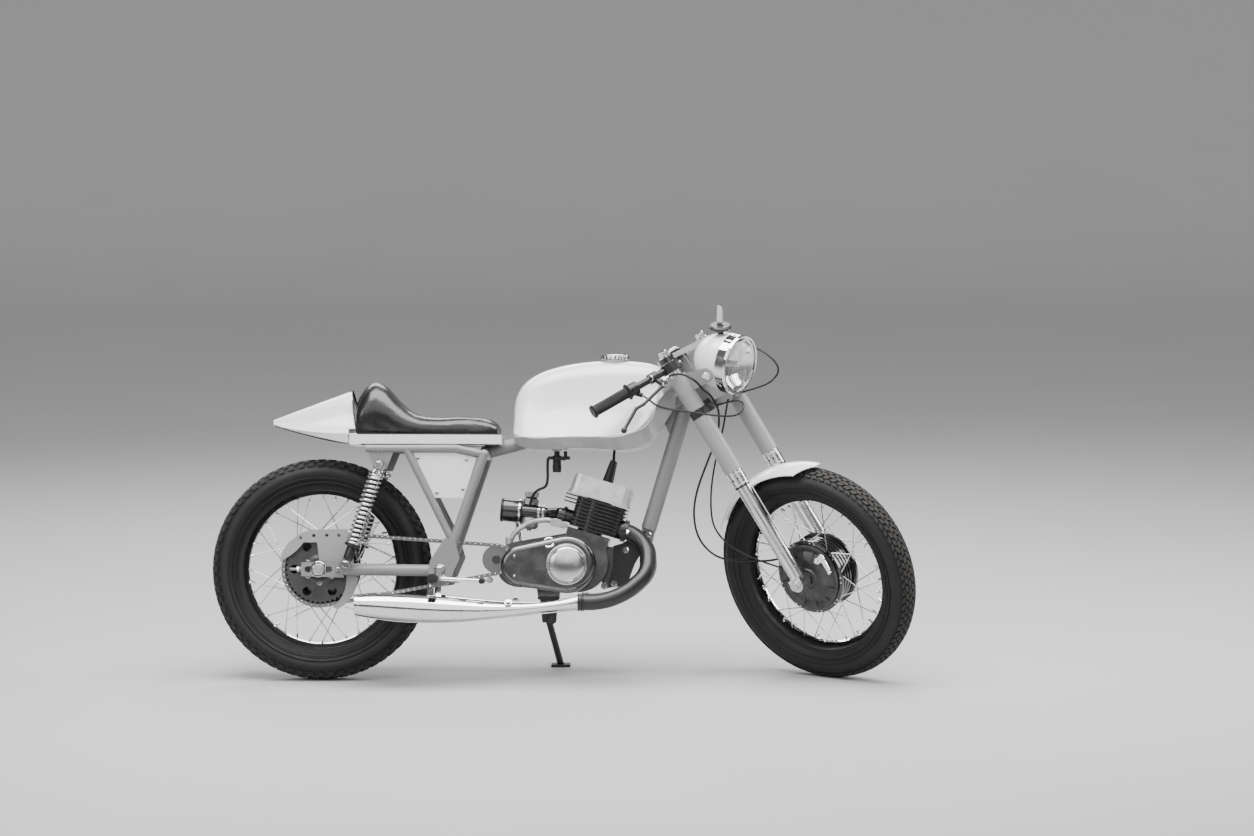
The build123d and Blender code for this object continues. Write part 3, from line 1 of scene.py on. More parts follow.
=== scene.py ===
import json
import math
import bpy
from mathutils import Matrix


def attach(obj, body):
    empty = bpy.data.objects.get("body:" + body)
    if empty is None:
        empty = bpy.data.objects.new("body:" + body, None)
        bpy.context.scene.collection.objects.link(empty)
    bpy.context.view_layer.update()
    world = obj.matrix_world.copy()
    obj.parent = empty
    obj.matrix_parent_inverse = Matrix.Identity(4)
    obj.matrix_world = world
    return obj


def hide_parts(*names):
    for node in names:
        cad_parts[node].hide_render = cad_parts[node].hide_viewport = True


bl_info = {
    "name": "Cafe Racer Motorcycle",
    "version": (1, 0, 0),
    "blender": (4, 5, 0),
    "location": "3D View > Sidebar > Motorcycle",
    "description": "Dresses the packed frame of a cafe racer motorcycle and sets its studio",
    "category": "Object",
}

import bmesh
import bpy
from bpy.props import FloatProperty, FloatVectorProperty, IntProperty, PointerProperty
from mathutils import Matrix, Vector
from mathutils.bvhtree import BVHTree

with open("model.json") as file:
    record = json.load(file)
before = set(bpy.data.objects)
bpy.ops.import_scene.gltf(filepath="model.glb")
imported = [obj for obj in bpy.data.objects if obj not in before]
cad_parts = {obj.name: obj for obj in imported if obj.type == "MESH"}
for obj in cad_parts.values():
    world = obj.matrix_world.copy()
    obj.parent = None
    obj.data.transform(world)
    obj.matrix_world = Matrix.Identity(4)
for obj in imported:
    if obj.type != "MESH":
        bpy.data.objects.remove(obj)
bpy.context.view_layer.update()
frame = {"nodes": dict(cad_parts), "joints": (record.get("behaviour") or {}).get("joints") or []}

NODES = frame["nodes"]
JOINTS = {joint["name"]: joint for joint in frame["joints"]}
SIDES = ((-1, "right"), (1, "left"))
AHEAD, ACROSS, UP = Vector((1, 0, 0)), Vector((0, 1, 0)), Vector((0, 0, 1))

# Sizes that the pieces share, in millimetres
RAKE = math.radians(31)
FORK_OFFSET = 40.0
LEG_Y = 95.0
TYRE_RADIUS = 322.0
RIM_RADIUS = 242.5
WIDEST_RADIUS = RIM_RADIUS + 0.52 * (TYRE_RADIUS - RIM_RADIUS)
SHOULDER_DROP = 14.0
HALF_BEAD = 25.8
REAR_AXLE = Vector((-728.5, 0, 322))
CHAIN_Y = -72.0
EXHAUST_Y = 166.0
GENERATOR = Vector((-8, 0, 338))
LAMP_CENTRE = Vector((187.5, 0, 629.5))
LAMP_OUT = Vector((0.789, 0, -0.615))
LAMP_UP = Vector((0.615, 0, 0.789))
LAMP_SWITCH = LAMP_CENTRE - LAMP_OUT * 70 + LAMP_UP * 86.3


def axes(x, y, z, origin):
    """Matrix from millimetres in a frame of the motorcycle to metres in the row."""
    turn = Matrix((x, y, z)).transposed().to_4x4()
    return Matrix.Translation(origin) @ turn @ Matrix.Scale(0.001, 4)


def set_back(place, point):
    """The same frame, moved so that this point of it falls where its origin was."""
    return place @ Matrix.Translation(-Vector(point))


def read_frames():
    """The bike's, the fork's and both wheels' frames, from the joints of the record."""
    across, steer, wheel_across = (
        Vector(JOINTS[name]["axis"]).normalized() for name in ("rear_wheel_spin", "steering", "front_wheel_spin"))
    ahead = across.cross(steer)
    forward = ahead * math.cos(RAKE) - steer * math.sin(RAKE)
    upward = ahead * math.sin(RAKE) + steer * math.cos(RAKE)
    rear_wheel = axes(forward, across, upward, Vector(JOINTS["rear_wheel_spin"]["pos_m"]))
    front_wheel = axes(
        wheel_across.cross(steer), wheel_across, steer, Vector(JOINTS["front_wheel_spin"]["pos_m"]))
    return set_back(rear_wheel, REAR_AXLE), set_back(front_wheel, (FORK_OFFSET, 0, 0)), front_wheel, rear_wheel


BIKE, FORK, FRONT_WHEEL, REAR_WHEEL = read_frames()

# Frame and body of the pieces that ride together
CHASSIS = (BIKE, "chassis")
STEERING = (FORK, "steering")


def turns(count, start=0.0):
    """Angles that share out a full turn."""
    return [start + 2 * math.pi * i / count for i in range(count)]


def wheel_way(turn):
    """Outward direction at this turn in a wheel's plane."""
    return Vector((math.cos(turn), 0, math.sin(turn)))


def circle(radius, sides, centre):
    """Points of a circle, for an outline."""
    return [(centre[0] + radius * math.cos(turn), centre[1] + radius * math.sin(turn)) for turn in turns(sides)]


def ring_of(middle, first, second, radius, sides, ribs=0, depth=0.0):
    """Points of a circle in space, with ribs cut into it to this depth."""
    points = []
    for turn in turns(sides):
        reach = radius - depth * (0.5 - 0.5 * math.cos(ribs * turn))
        points.append(middle + (first * math.cos(turn) + second * math.sin(turn)) * reach)
    return points


def curve_through(points, steps=12, loop=False):
    """Close points on a smooth curve through the given ones."""
    points = [Vector(p) for p in points]
    count = len(points)
    found = []
    for i in range(count if loop else count - 1):
        if loop:
            a, b, c, d = (points[(i + k) % count] for k in (-1, 0, 1, 2))
        else:
            b, c = points[i], points[i + 1]
            a = points[i - 1] if i else b * 2 - c
            d = points[i + 2] if i + 2 < count else c * 2 - b
        for step in range(steps):
            t = step / steps
            found.append(
                (b * 2 + (c - a) * t + (a * 2 - b * 5 + c * 4 - d) * t**2 + (b * 3 - a - c * 3 + d) * t**3) / 2)
    if not loop:
        found.append(points[-1])
    return found


def rounded(outline, radius, steps=4):
    """Outline of a plate with its corners rounded."""
    count = len(outline)
    found = []
    for i in range(count):
        before, corner, after = (Vector(outline[(i + k) % count]) for k in (-1, 0, 1))
        back, on = before - corner, after - corner
        reach = min(radius, back.length * 0.45, on.length * 0.45)
        start, end = corner + back.normalized() * reach, corner + on.normalized() * reach
        for step in range(steps + 1):
            t = step / steps
            found.append(tuple(start * (1 - t) ** 2 + corner * 2 * t * (1 - t) + end * t**2))
    return found


class Shape:
    """Points and faces of one piece, in the millimetres of one frame."""

    def __init__(self):
        self.points = []
        self.faces = []
        self.tints = []
        self.tint = 0

    def skin(self, rings, loop=False, caps=(True, True)):
        """Surface over rings of equally many points, closed over its first and its last ring."""
        sides, count, start = len(rings[0]), len(rings), len(self.points)
        faces = []
        for i in range(count if loop else count - 1):
            low, high = i * sides, (i + 1) % count * sides
            for side in range(sides):
                after = (side + 1) % sides
                faces.append([low + side, low + after, high + after, high + side])
        if caps[0] and not loop:
            faces.append(list(reversed(range(sides))))
        if caps[1] and not loop:
            faces.append(list(range((count - 1) * sides, count * sides)))
        self.points += [Vector(point) for ring in rings for point in ring]
        self.faces += [[start + corner for corner in face] for face in faces]
        self.tints += [self.tint] * len(faces)
        return self

    def lathe(self, centre, axis, profile, sides=48, closed=False):
        """Form turned about an axis, from (radius, distance along the axis) points."""
        along = Vector(axis).normalized()
        first = (UP.cross(along) if abs(along.z) < 0.9 else along.orthogonal()).normalized()
        rings = [
            ring_of(Vector(centre) + along * distance, first, along.cross(first), radius, sides)
            for radius, distance in profile]
        return self.skin(rings, closed, (False, False))

    def disc(self, centre, axis, radius, low, high, sides=24):
        """Solid round, from low to high along its axis."""
        return self.lathe(centre, axis, [(0, low), (radius, low), (radius, high), (0, high)], sides)

    def band(self, centre, axis, inner, outer, low, high, sides=48):
        """Hoop of this inner and outer radius, from low to high along its axis."""
        return self.lathe(centre, axis, [(inner, low), (outer, low), (outer, high), (inner, high)], sides, True)

    def ribbed(self, centre, axis, profile, ribs, sides):
        """Form turned about an axis, from (radius, distance, depth of the lengthwise ribs) points."""
        along = Vector(axis).normalized()
        first = along.orthogonal().normalized()
        return self.skin([
            ring_of(Vector(centre) + along * distance, first, along.cross(first), radius, sides, ribs, depth)
            for radius, distance, depth in profile])

    def wire_ring(self, centre, axis, radius, wire, sides):
        """Round wire bent to a ring."""
        return self.lathe(centre, axis, circle(wire, 10, (radius, 0)), sides, True)

    def tube(self, route, radius, sides=12, loop=False):
        """Round bar along a route of close points."""
        route = [Vector(point) for point in route]
        count = len(route)
        rings = []
        normal = None
        for i, point in enumerate(route):
            before = route[i - 1] if i or loop else point
            after = route[(i + 1) % count] if i + 1 < count or loop else point
            along = (after - before).normalized()
            if normal is None:
                normal = along.orthogonal().normalized()
            normal = (normal - along * normal.dot(along)).normalized()
            rings.append(ring_of(point, normal, along.cross(normal), radius, sides))
        return self.skin(rings, loop)

    def prism(self, outline, low, high, along=ACROSS, first=AHEAD, second=UP, centre=(0, 0, 0)):
        """Plate with this outline in the first and second directions, from low to high along the third."""
        origin, along = Vector(centre), Vector(along)
        return self.skin([
            [origin + first * a + second * b + along * end for a, b in outline] for end in (low, high)])

    def bolt(self, place, out, across, height, washer=True):
        """Hexagon head with a chamfered top, standing on its washer."""
        base = 1.4 if washer else 0.0
        if washer:
            self.lathe(place, out, [
                (0, 0), (across * 0.72, 0), (across * 0.74, 0.5), (across * 0.7, base), (0, base)], 24)
        radius = across / math.sqrt(3)
        head = [(radius, -0.1), (radius, height * 0.82), (radius * 0.84, height), (0, height)]
        return self.lathe(place, out, [(reach, base + rise) for reach, rise in head], 6)

    def screw(self, place, out, radius, height):
        """Small screw with a domed round head."""
        return self.lathe(place, out, [
            (radius, 0), (radius, height * 0.4), (radius * 0.8, height * 0.85), (radius * 0.3, height), (0, height),
        ], 20)

    def parts(self, rows, sides=(-1, 1)):
        """Parts on these sides, from rows of method, place and outward way on the left, and sizes."""
        for side in sides:
            for method, (x, y, z), (a, b, c), *sizes in rows:
                method(self, (x, side * y, z), (a, side * b, c), *sizes)
        return self

    def helix(self, start, end, radius, wire, coils):
        """Round wire wound from start to end, its first and last turns closed up."""
        along, length = (end - start).normalized(), (end - start).length
        first = along.orthogonal().normalized()
        second = along.cross(first)
        count = int(coils * 26)
        ease = 1.5 * wire / length
        route = []
        for i in range(count + 1):
            coil = coils * i / count
            rise = min(max((coil - 1) / (coils - 2), 0), 1)
            rise = rise * (1 - 2 * ease) + ease * (1 + min(coil, 1) - min(coils - coil, 1))
            turn = 2 * math.pi * coil
            route.append(
                start + along * length * rise + (first * math.cos(turn) + second * math.sin(turn)) * radius)
        return self.tube(route, wire, 10)


BOLT, SCREW, LATHE, DISC, RING, RIBBED = (
    Shape.bolt, Shape.screw, Shape.lathe, Shape.disc, Shape.wire_ring, Shape.ribbed)


class Wire:
    """One socket of a finish, with the operators that its sums are written in."""

    def __init__(self, finish, socket):
        self.finish = finish
        self.socket = socket

    def sum(self, operation, *values):
        """Result of one operation on wires or numbers."""
        return self.finish.node("ShaderNodeMath", {"operation": operation}, dict(enumerate(values)))[0]

    def __add__(self, other):
        return self.sum("ADD", self, other)

    def __sub__(self, other):
        return self.sum("SUBTRACT", self, other)

    def __rsub__(self, other):
        return self.sum("SUBTRACT", other, self)

    def __mul__(self, other):
        return self.sum("MULTIPLY", self, other)

    def __pow__(self, other):
        return self.sum("POWER", self, other)

    __radd__ = __add__
    __rmul__ = __mul__

    def between(self, low, high):
        """0 below low, 1 above high, and even between them."""
        settings = {"interpolation_type": "SMOOTHSTEP"}
        return self.finish.node("ShaderNodeMapRange", settings, {0: self, 1: low, 2: high, 3: 0.0, 4: 1.0})[0]


class Node:
    """A made node, whose outputs are read by name or place as wires."""

    def __init__(self, finish, made):
        self.finish = finish
        self.made = made

    def __getitem__(self, key):
        return Wire(self.finish, self.made.outputs[key])


class Finish:
    """A material whose surface is worked out in Python sums."""

    def __init__(self, name):
        self.material = bpy.data.materials.new(name)
        self.material.use_nodes = True
        self.tree = self.material.node_tree
        self.surface = self.tree.nodes["Principled BSDF"]
        self.place = self.node("ShaderNodeTexCoord", {}, {})["Object"]

    def node(self, kind, settings, sockets):
        """Any node, from its type, its settings and the values or wires of its sockets."""
        made = self.tree.nodes.new(kind)
        for key, value in settings.items():
            setattr(made, key, value)
        for key, value in sockets.items():
            self.feed(made.inputs[key], value)
        return Node(self, made)

    def feed(self, socket, value):
        """Gives a socket a wire or a value."""
        if isinstance(value, Wire):
            self.tree.links.new(value.socket, socket)
        elif hasattr(socket.default_value, "__len__") and len(socket.default_value) == 4 and len(value) == 3:
            socket.default_value = (*value, 1)
        else:
            socket.default_value = value

    def noise(self, scale, detail, roughness=0.55, distortion=0.0):
        """Cloudy pattern of this scale over the whole piece."""
        return self.node("ShaderNodeTexNoise", {}, {
            "Vector": self.place, "Scale": scale, "Detail": detail, "Roughness": roughness, "Distortion": distortion,
        })["Fac"]

    def vector(self, operation, *values):
        """Sum of vectors, whose result is read by name or place."""
        return self.node("ShaderNodeVectorMath", {"operation": operation}, dict(enumerate(values)))

    def distance(self, origin, way):
        """How far the surface lies from a point along a direction."""
        return self.vector("DOT_PRODUCT", self.vector("SUBTRACT", self.place, tuple(origin))[0], tuple(way))["Value"]

    def mix(self, share, low, high):
        """Colour between two colours."""
        return self.node("ShaderNodeMix", {"data_type": "RGBA"}, {0: share, 6: low, 7: high})[2]

    def bump(self, height, distance, strength, under=None):
        """Normals tilted by a height pattern, over another bump where one is given."""
        sockets = {"Height": height, "Distance": distance, "Strength": strength}
        if under is not None:
            sockets["Normal"] = under
        return self.node("ShaderNodeBump", {}, sockets)["Normal"]

    def set(self, **sockets):
        """Values or wires for the surface's own sockets."""
        for key, value in sockets.items():
            self.feed(self.surface.inputs[key.replace("_", " ")], value)
        return self.material


def shade(level, warmth=0.0):
    """Neutral colour of this brightness, a little warm or cool."""
    return (level * (1 + warmth), level, level * (1 - warmth))


def lacquered(paint, tone, roughness, film_dust, speck_dust):
    """Sprayed enamel under lacquer, with faint orange peel, dust and fine scratches."""
    film = paint.noise(7, 5).between(0.4, 0.75)
    specks = paint.noise(1400, 2, 0.7).between(0.66, 0.74)
    return paint.set(
        Base_Color=paint.mix(film * film_dust + specks * speck_dust, tone, shade(0.32, 0.06)),
        Roughness=roughness + film * 0.12 + specks * 0.2,
        Coat_Weight=0.75 - film * 0.25,
        Coat_Roughness=0.06,
        Normal=paint.bump(paint.noise(900, 2), 0.00004, 0.5))


def tank_enamel_with_band_shade(name, colour, band):
    """Tank enamel, painted greyer below the pressed crease and in front of its upward turn: painted shade on the band
    that faces down.
    """
    paint = Finish(name)
    ahead, upward = (paint.distance(BIKE.translation, (BIKE.to_3x3() @ way) * 1e6) for way in (AHEAD, UP))
    front = (ahead - 100.0) * (1 / 152.0)
    below = (850.0 - upward) * (1 / 144.0)
    bend = front.sum("MAXIMUM", front, 0.0) ** 2.5 + below.sum("MAXIMUM", below, 0.0) ** 2.5
    # share marks the band whose grey is painted shade, below the crease and before its upward turn
    share = bend.between(0.97, 1.03) * (1.0 - upward.between(845.0, 885.0))
    return lacquered(paint, paint.mix(share, colour, band), 0.2, 0.05, 0.12)


def satin_paint(name, colour, roughness, wear=0.5):
    """Satin stove enamel with rubbed patches and small chips."""
    paint = Finish(name)
    cloud = paint.noise(14, 6).between(0.35, 0.7)
    chips = paint.noise(260, 3, 0.6).between(0.69, 0.72)
    rubbed = paint.mix(cloud * 0.22 * wear, colour, shade(colour[1] * 0.72))
    return paint.set(
        Base_Color=paint.mix(chips * wear, rubbed, shade(max(colour[1] * 0.4, 0.05))),
        Roughness=roughness + cloud * 0.12 * wear,
        Normal=paint.bump(paint.noise(1100, 2) - chips * 2, 0.00005, 0.6),
        Coat_Weight=0.12)


def chrome(name, level=0.78, roughness=0.05, grime=0.4):
    """Bright plating with faint haze and pin-prick pits."""
    plate = Finish(name)
    haze = plate.noise(22, 5).between(0.45, 0.8)
    pits = plate.noise(1500, 2, 0.7).between(0.7, 0.74)
    return plate.set(
        Base_Color=plate.mix(haze * 0.3 * grime + pits * 0.5 * grime, shade(level), shade(level * 0.42, 0.05)),
        Metallic=1.0,
        Roughness=roughness + haze * 0.12 * grime + pits * 0.25,
        Normal=plate.bump(plate.noise(60, 2) - pits, 0.00003, 0.4))


def polished(name, level=0.72, roughness=0.2):
    """Hand-polished alloy with fine polishing lines and a dull bloom."""
    alloy = Finish(name)
    brushed = alloy.noise(420, 3, 0.6)
    bloom = alloy.noise(18, 6).between(0.42, 0.75)
    return alloy.set(
        Base_Color=alloy.mix(bloom * 0.4, shade(level), shade(level * 0.55, 0.03)),
        Metallic=1.0,
        Roughness=roughness + bloom * 0.16 + (brushed - 0.5) * 0.14,
        Normal=alloy.bump(brushed, 0.00005, 0.35))


def cast_metal(name, level=0.45, roughness=0.5, coarse=1.0):
    """Sand-cast alloy: fine grain, stained in cloudy patches."""
    alloy = Finish(name)
    stain = alloy.noise(30, 6).between(0.4, 0.72)
    return alloy.set(
        Base_Color=alloy.mix(stain * 0.5, shade(level), shade(level * 0.45, 0.06)),
        Metallic=0.85,
        Roughness=roughness + stain * 0.15,
        Normal=alloy.bump(alloy.noise(700, 4, 0.65), 0.00022 * coarse, 0.6))


def switch_plate(name, foot, upward):
    """Chrome handle above a black disc, told apart by the height over the switch's foot."""
    plate = Finish(name)
    bright = plate.distance(foot, upward).between(0.0262, 0.0270)
    return plate.set(
        Base_Color=plate.mix(bright, shade(0.02), shade(0.75)),
        Metallic=bright,
        Roughness=0.32 - bright * 0.24 + plate.noise(40, 4) * 0.08,
        Normal=plate.bump(plate.noise(700, 3), 0.00005, 0.4))


def rubber(name, level=0.009, roughness=0.62, dust=0.4):
    """Black rubber with a dry bloom."""
    gum = Finish(name)
    bloom = gum.noise(40, 6).between(0.42, 0.75)
    return gum.set(
        Base_Color=gum.mix(bloom * dust, shade(level), shade(level * 3.2, 0.05)),
        Roughness=roughness + bloom * 0.15,
        Specular_IOR_Level=0.35,
        Normal=gum.bump(gum.noise(1200, 3), 0.00006, 0.5))


def tyre_rubber(name, centre, across):
    """Tyre compound: dark sidewalls, and a tread that is scuffed and dusty."""
    gum = Finish(name)
    along = gum.distance(centre, across)
    reach = gum.vector("LENGTH", gum.vector("SUBTRACT", gum.place, tuple(centre))[0])["Value"]
    tread = ((reach * reach - along * along) ** 0.5).between(0.300, 0.318)
    cloud = gum.noise(25, 6).between(0.35, 0.7)
    fine = gum.noise(900, 4, 0.7)
    worn = gum.mix(tread * (0.55 + cloud * 0.45), shade(0.008), shade(0.04, 0.05))
    return gum.set(
        Base_Color=gum.mix(fine.between(0.55, 0.7) * (0.04 + tread * 0.22), worn, shade(0.16, 0.08)),
        Roughness=0.58 + tread * 0.22 + cloud * 0.1,
        Specular_IOR_Level=0.35,
        Normal=gum.bump(fine, 0.0002, 0.5))


def seat_vinyl(name):
    """Glossy black seat cover with a fine grain and soft creases."""
    cover = Finish(name)
    grain = cover.node("ShaderNodeTexVoronoi", {}, {"Vector": cover.place, "Scale": 900})["Distance"]
    creases = cover.noise(28, 5, 0.6, distortion=0.6)
    shine = cover.noise(12, 4).between(0.4, 0.7)
    return cover.set(
        Base_Color=cover.mix(shine * 0.35, shade(0.008), shade(0.02)),
        Roughness=0.26 + shine * 0.14,
        Coat_Weight=0.25,
        Normal=cover.bump(grain, 0.00014, 0.5, cover.bump(creases, 0.0012, 0.35)))


def lamp_glass(name):
    """Clear pressed glass."""
    glass = Finish(name)
    film = glass.noise(30, 4).between(0.5, 0.8)
    return glass.set(
        Base_Color=glass.mix(film * 0.1, shade(0.97), shade(0.75)),
        Roughness=0.02 + film * 0.04,
        Transmission_Weight=1.0,
        IOR=1.48)


def plain_floor(name, level, wall):
    """Pale studio floor that rises into the wall."""
    floor = Finish(name)
    height = floor.node("ShaderNodeSeparateXYZ", {}, {0: floor.place})["Z"]
    ground = floor.mix(floor.noise(1.2, 3), shade(level * 0.92), shade(level))
    return floor.set(Base_Color=floor.mix(height.between(0.0, 2.5), ground, shade(wall)), Roughness=0.75)


FINISHES = {}


def make_finishes():
    """Every finish that more than one piece shares."""
    look = bpy.context.scene.motorcycle_paint
    # band is painted shade: the grey of the tank's downward-facing band below its crease
    body, band, tubes, shrouds = (
        tuple(colour) for colour in (look.body_colour, look.band_shade_colour, look.frame_colour, look.shroud_colour))
    black = shade(0.008)
    FINISHES.update({
        "white": lacquered(Finish("white_enamel"), body, 0.22, 0.05, 0.125),
        "tank": tank_enamel_with_band_shade("tank_enamel_with_band_shade", body, band),
        "black_gloss": lacquered(Finish("black_enamel"), black, 0.2, 0.04, 0.1),
        "frame_grey": satin_paint("frame_grey_enamel", tubes, 0.36),
        "shroud_grey": satin_paint("shroud_grey_enamel", shrouds, 0.34, 0.3),
        "black_satin": satin_paint("black_satin_enamel", black, 0.4, 0.3),
        "black_fins": satin_paint("black_heatproof_paint", shade(0.010), 0.36, 0.3),
        "chrome": chrome("chrome_plate"),
        "dull_chrome": chrome("dull_chrome_plate", 0.7, 0.12, 1.0),
        "polished": polished("polished_alloy"),
        "brushed": polished("brushed_steel", 0.55, 0.34),
        "dark_polished": polished("dark_polished_alloy", 0.16),
        "cast": cast_metal("cast_alloy"),
        "cast_bright": cast_metal("bright_cast_alloy", 0.72, 0.36, 0.6),
        "cast_dark": cast_metal("dark_cast_alloy", 0.08, 0.42, 0.8),
        "chain": polished("oiled_chain_steel", 0.2, 0.38),
        "rubber": rubber("black_rubber"),
        "soft_black": rubber("black_moulded_plastic", 0.008, 0.4, 0.2),
        "vinyl": seat_vinyl("black_seat_vinyl"),
        "glass": lamp_glass("lamp_glass"),
        "switch": switch_plate("switch_finish", FORK @ LAMP_SWITCH, (FORK.to_3x3() @ LAMP_UP).normalized()),
        "dome": polished("satin_dome_alloy", 0.62, 0.17),
        "mirror": chrome("silvered_reflector", 0.9, 0.03, 0.1),
        "bulb": chrome("frosted_bulb", 0.85, 0.5, 0.0),
    })


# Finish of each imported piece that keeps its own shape
NODE_FINISHES = {
    "white": "tail_cowl headlamp_shell front_mudguard side_box",
    "frame_grey": "frame_front frame_side_left frame_side_right swingarm",
    "shroud_grey": "fork_shroud_left fork_shroud_right chain_guard",
    "black_satin": "steering_stem stand_bracket side_stand handlebar_left handlebar_right engine_plates",
    "black_gloss": "front_hub rear_hub top_yoke carburettor",
    "black_fins": "cylinder exhaust_header",
    "chrome": "front_rim rear_rim headlamp_rim fuel_cap muffler generator_cover kick_starter",
    "dull_chrome": "front_spokes rear_spokes shock_left shock_right",
    "polished": "fork_leg_left fork_leg_right rearset_left rearset_right",
    "dark_polished": "right_cover crankcase",
    "switch": "headlamp_switch",
    "brushed": "front_axle rear_axle",
    "cast_bright": "cylinder_head",
    "chain": "drive_chain",
    "cast_dark": "front_brake_plate rear_brake_plate rear_sprocket",
    "tank": "fuel_tank",
    "rubber": "grip_left grip_right front_tyre rear_tyre",
    "soft_black": "plug_cap_and_coil fuel_tap",
    "vinyl": "seat_pad",
    "glass": "headlamp_lens",
}


def add_object(name, data):
    """Object in the scene that shows this data."""
    found = bpy.data.objects.new(name, data)
    bpy.context.scene.collection.objects.link(found)
    return found


def make(name, shape, home, finishes, sharp=38, bevel=0.0, replaces=None):
    """Mesh object from a shape, in its home's frame, riding on its home's body."""
    place, body = home
    mesh = bpy.data.meshes.new(name)
    mesh.from_pydata([place @ point for point in shape.points], [], shape.faces)
    for finish in [finishes] if isinstance(finishes, str) else finishes:
        mesh.materials.append(FINISHES[finish])
    mesh.polygons.foreach_set("material_index", shape.tints)
    work = bmesh.new()
    work.from_mesh(mesh)
    bmesh.ops.remove_doubles(work, verts=work.verts, dist=1e-7)
    bmesh.ops.recalc_face_normals(work, faces=work.faces)
    work.to_mesh(mesh)
    work.free()
    mesh.polygons.foreach_set("use_smooth", [True] * len(mesh.polygons))
    mesh.set_sharp_from_angle(angle=math.radians(sharp))
    piece = add_object(name, mesh)
    if bevel:
        edge = piece.modifiers.new("edge", "BEVEL")
        edge.width = bevel * 0.001
        edge.segments = 2
        edge.limit_method = "ANGLE"
        edge.angle_limit = math.radians(40)
        edge.harden_normals = False
    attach(piece, body)
    if replaces:
        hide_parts(replaces)
    return piece


def enamel(name, pieces, level, cast):
    """Colour property for the enamel of these pieces."""
    return FloatVectorProperty(
        name=name, description=f"Enamel of {pieces}", subtype="COLOR", default=(level, level, cast), min=0, max=1)


def number(name, description, default, low, high, kind=FloatProperty, **more):
    """Property for one size, count, power or brightness."""
    return kind(name=name, description=description, default=default, min=low, max=high, **more)


class PaintSettings(bpy.types.PropertyGroup):
    body_colour: enamel("Bodywork", "the tank, tail, headlamp and mudguard", 0.76, 0.75)
    # The tank band's grey is painted shade on the band that faces down below the crease
    band_shade_colour: enamel("Tank band shade", "the painted shade below the tank's crease", 0.33, 0.335)
    frame_colour: enamel("Frame", "the frame tubes and the swingarm", 0.19, 0.195)
    shroud_colour: enamel("Fork shrouds", "the fork shrouds and the chain guard", 0.27, 0.275)


class StageSettings(bpy.types.PropertyGroup):
    focal_length: number("Lens", "Focal length of the camera on its 36 mm frame", 109.58, 20, 300, unit="CAMERA")
    floor_level: number("Floor", "Brightness of the studio floor", 0.46, 0, 1, subtype="FACTOR")
    wall_level: number("Wall", "Brightness of the studio wall", 0.40, 0, 1, subtype="FACTOR")
    key_power: number("Key light", "Power of the large soft light overhead", 520, 0, 5000, unit="POWER")


class TyreSettings(bpy.types.PropertyGroup):
    groove_depth: number("Groove depth", "Depth of the tread grooves, in millimetres", 5.0, 1, 9)
    front_blocks: number("Front blocks", "Tread blocks round the front tyre, in each row", 84, 20, 140, IntProperty)
    rear_blocks: number("Rear blocks", "Tread blocks round the rear tyre, in each row", 64, 20, 140, IntProperty)


class SeatSettings(bpy.types.PropertyGroup):
    pressure: number("Stuffing pressure", "Pressure that swells the seat cover", 4.0, 0, 10)
    swelling: number("Swelling", "Most that the cover moves, in millimetres", 5.0, 0, 12)


class HeadlampSettings(bpy.types.PropertyGroup):
    flute_pitch: number("Flute pitch", "Distance between the lens flutes, in millimetres", 5.6, 2, 20)
    flute_depth: number("Flute depth", "Half height of the lens flutes, in millimetres", 0.5, 0, 1.5)


class ShockSettings(bpy.types.PropertyGroup):
    coils: number("Coils", "Turns of each spring", 17, 6, 24)
    wire: number("Wire", "Radius of the spring wire, in millimetres", 3.6, 2, 4)


class ControlSettings(bpy.types.PropertyGroup):
    ribs: number("Grip ribs", "Lengthwise ribs round each grip", 28, 8, 48, IntProperty)
    rib_depth: number("Rib depth", "Depth of the grips' ribs, in millimetres", 1.2, 0, 2)


class BodyworkSettings(bpy.types.PropertyGroup):
    bead: number("Tank bead", "Radius of the bead pressed along the tank's crease, in millimetres", 1.6, 0.5, 3)


# The camera: place from the rear wheel's centre in metres, yaw, pitch and roll in degrees, and frame in millimetres
CAMERA_PLACE = Vector((1.2185, -11.032, 1.606))
CAMERA_ANGLES = (-1.69, 6.01, -0.21)
SENSOR_WIDTH = 36

# The studio in metres: half the floor's width, the wall's distance, the height of the curve between, and the top
FLOOR_HALF, WALL_AT, WALL_CURVE, WALL_TOP = 30.0, 22.0, 8.0, 30.0

# Area lights: name, place, aim, width and height, and share of the key light's power
LIGHTS = (
    ("overhead", (0.2, -0.7, 4.2), (0, 0, 0.4), (5.0, 2.8), 1.0),
    ("front_left", (-4.0, -4.2, 2.8), (0, 0, 0.5), (3.0, 2.0), 0.14),
    ("right_rim", (4.4, 0.6, 2.6), (0.2, 0, 0.5), (1.6, 2.4), 0.22),
    ("back", (-1.0, 3.6, 3.6), (0, 0, 0.6), (4.0, 1.6), 0.3),
)

# Even light from all round, and a wide soft sun
SKY_COLOUR, SKY_GLOW = (0.80, 0.81, 0.83), 0.20
SKY_POWER, SKY_WIDTH, SKY_TILT = 1.6, math.radians(60), math.radians(48)


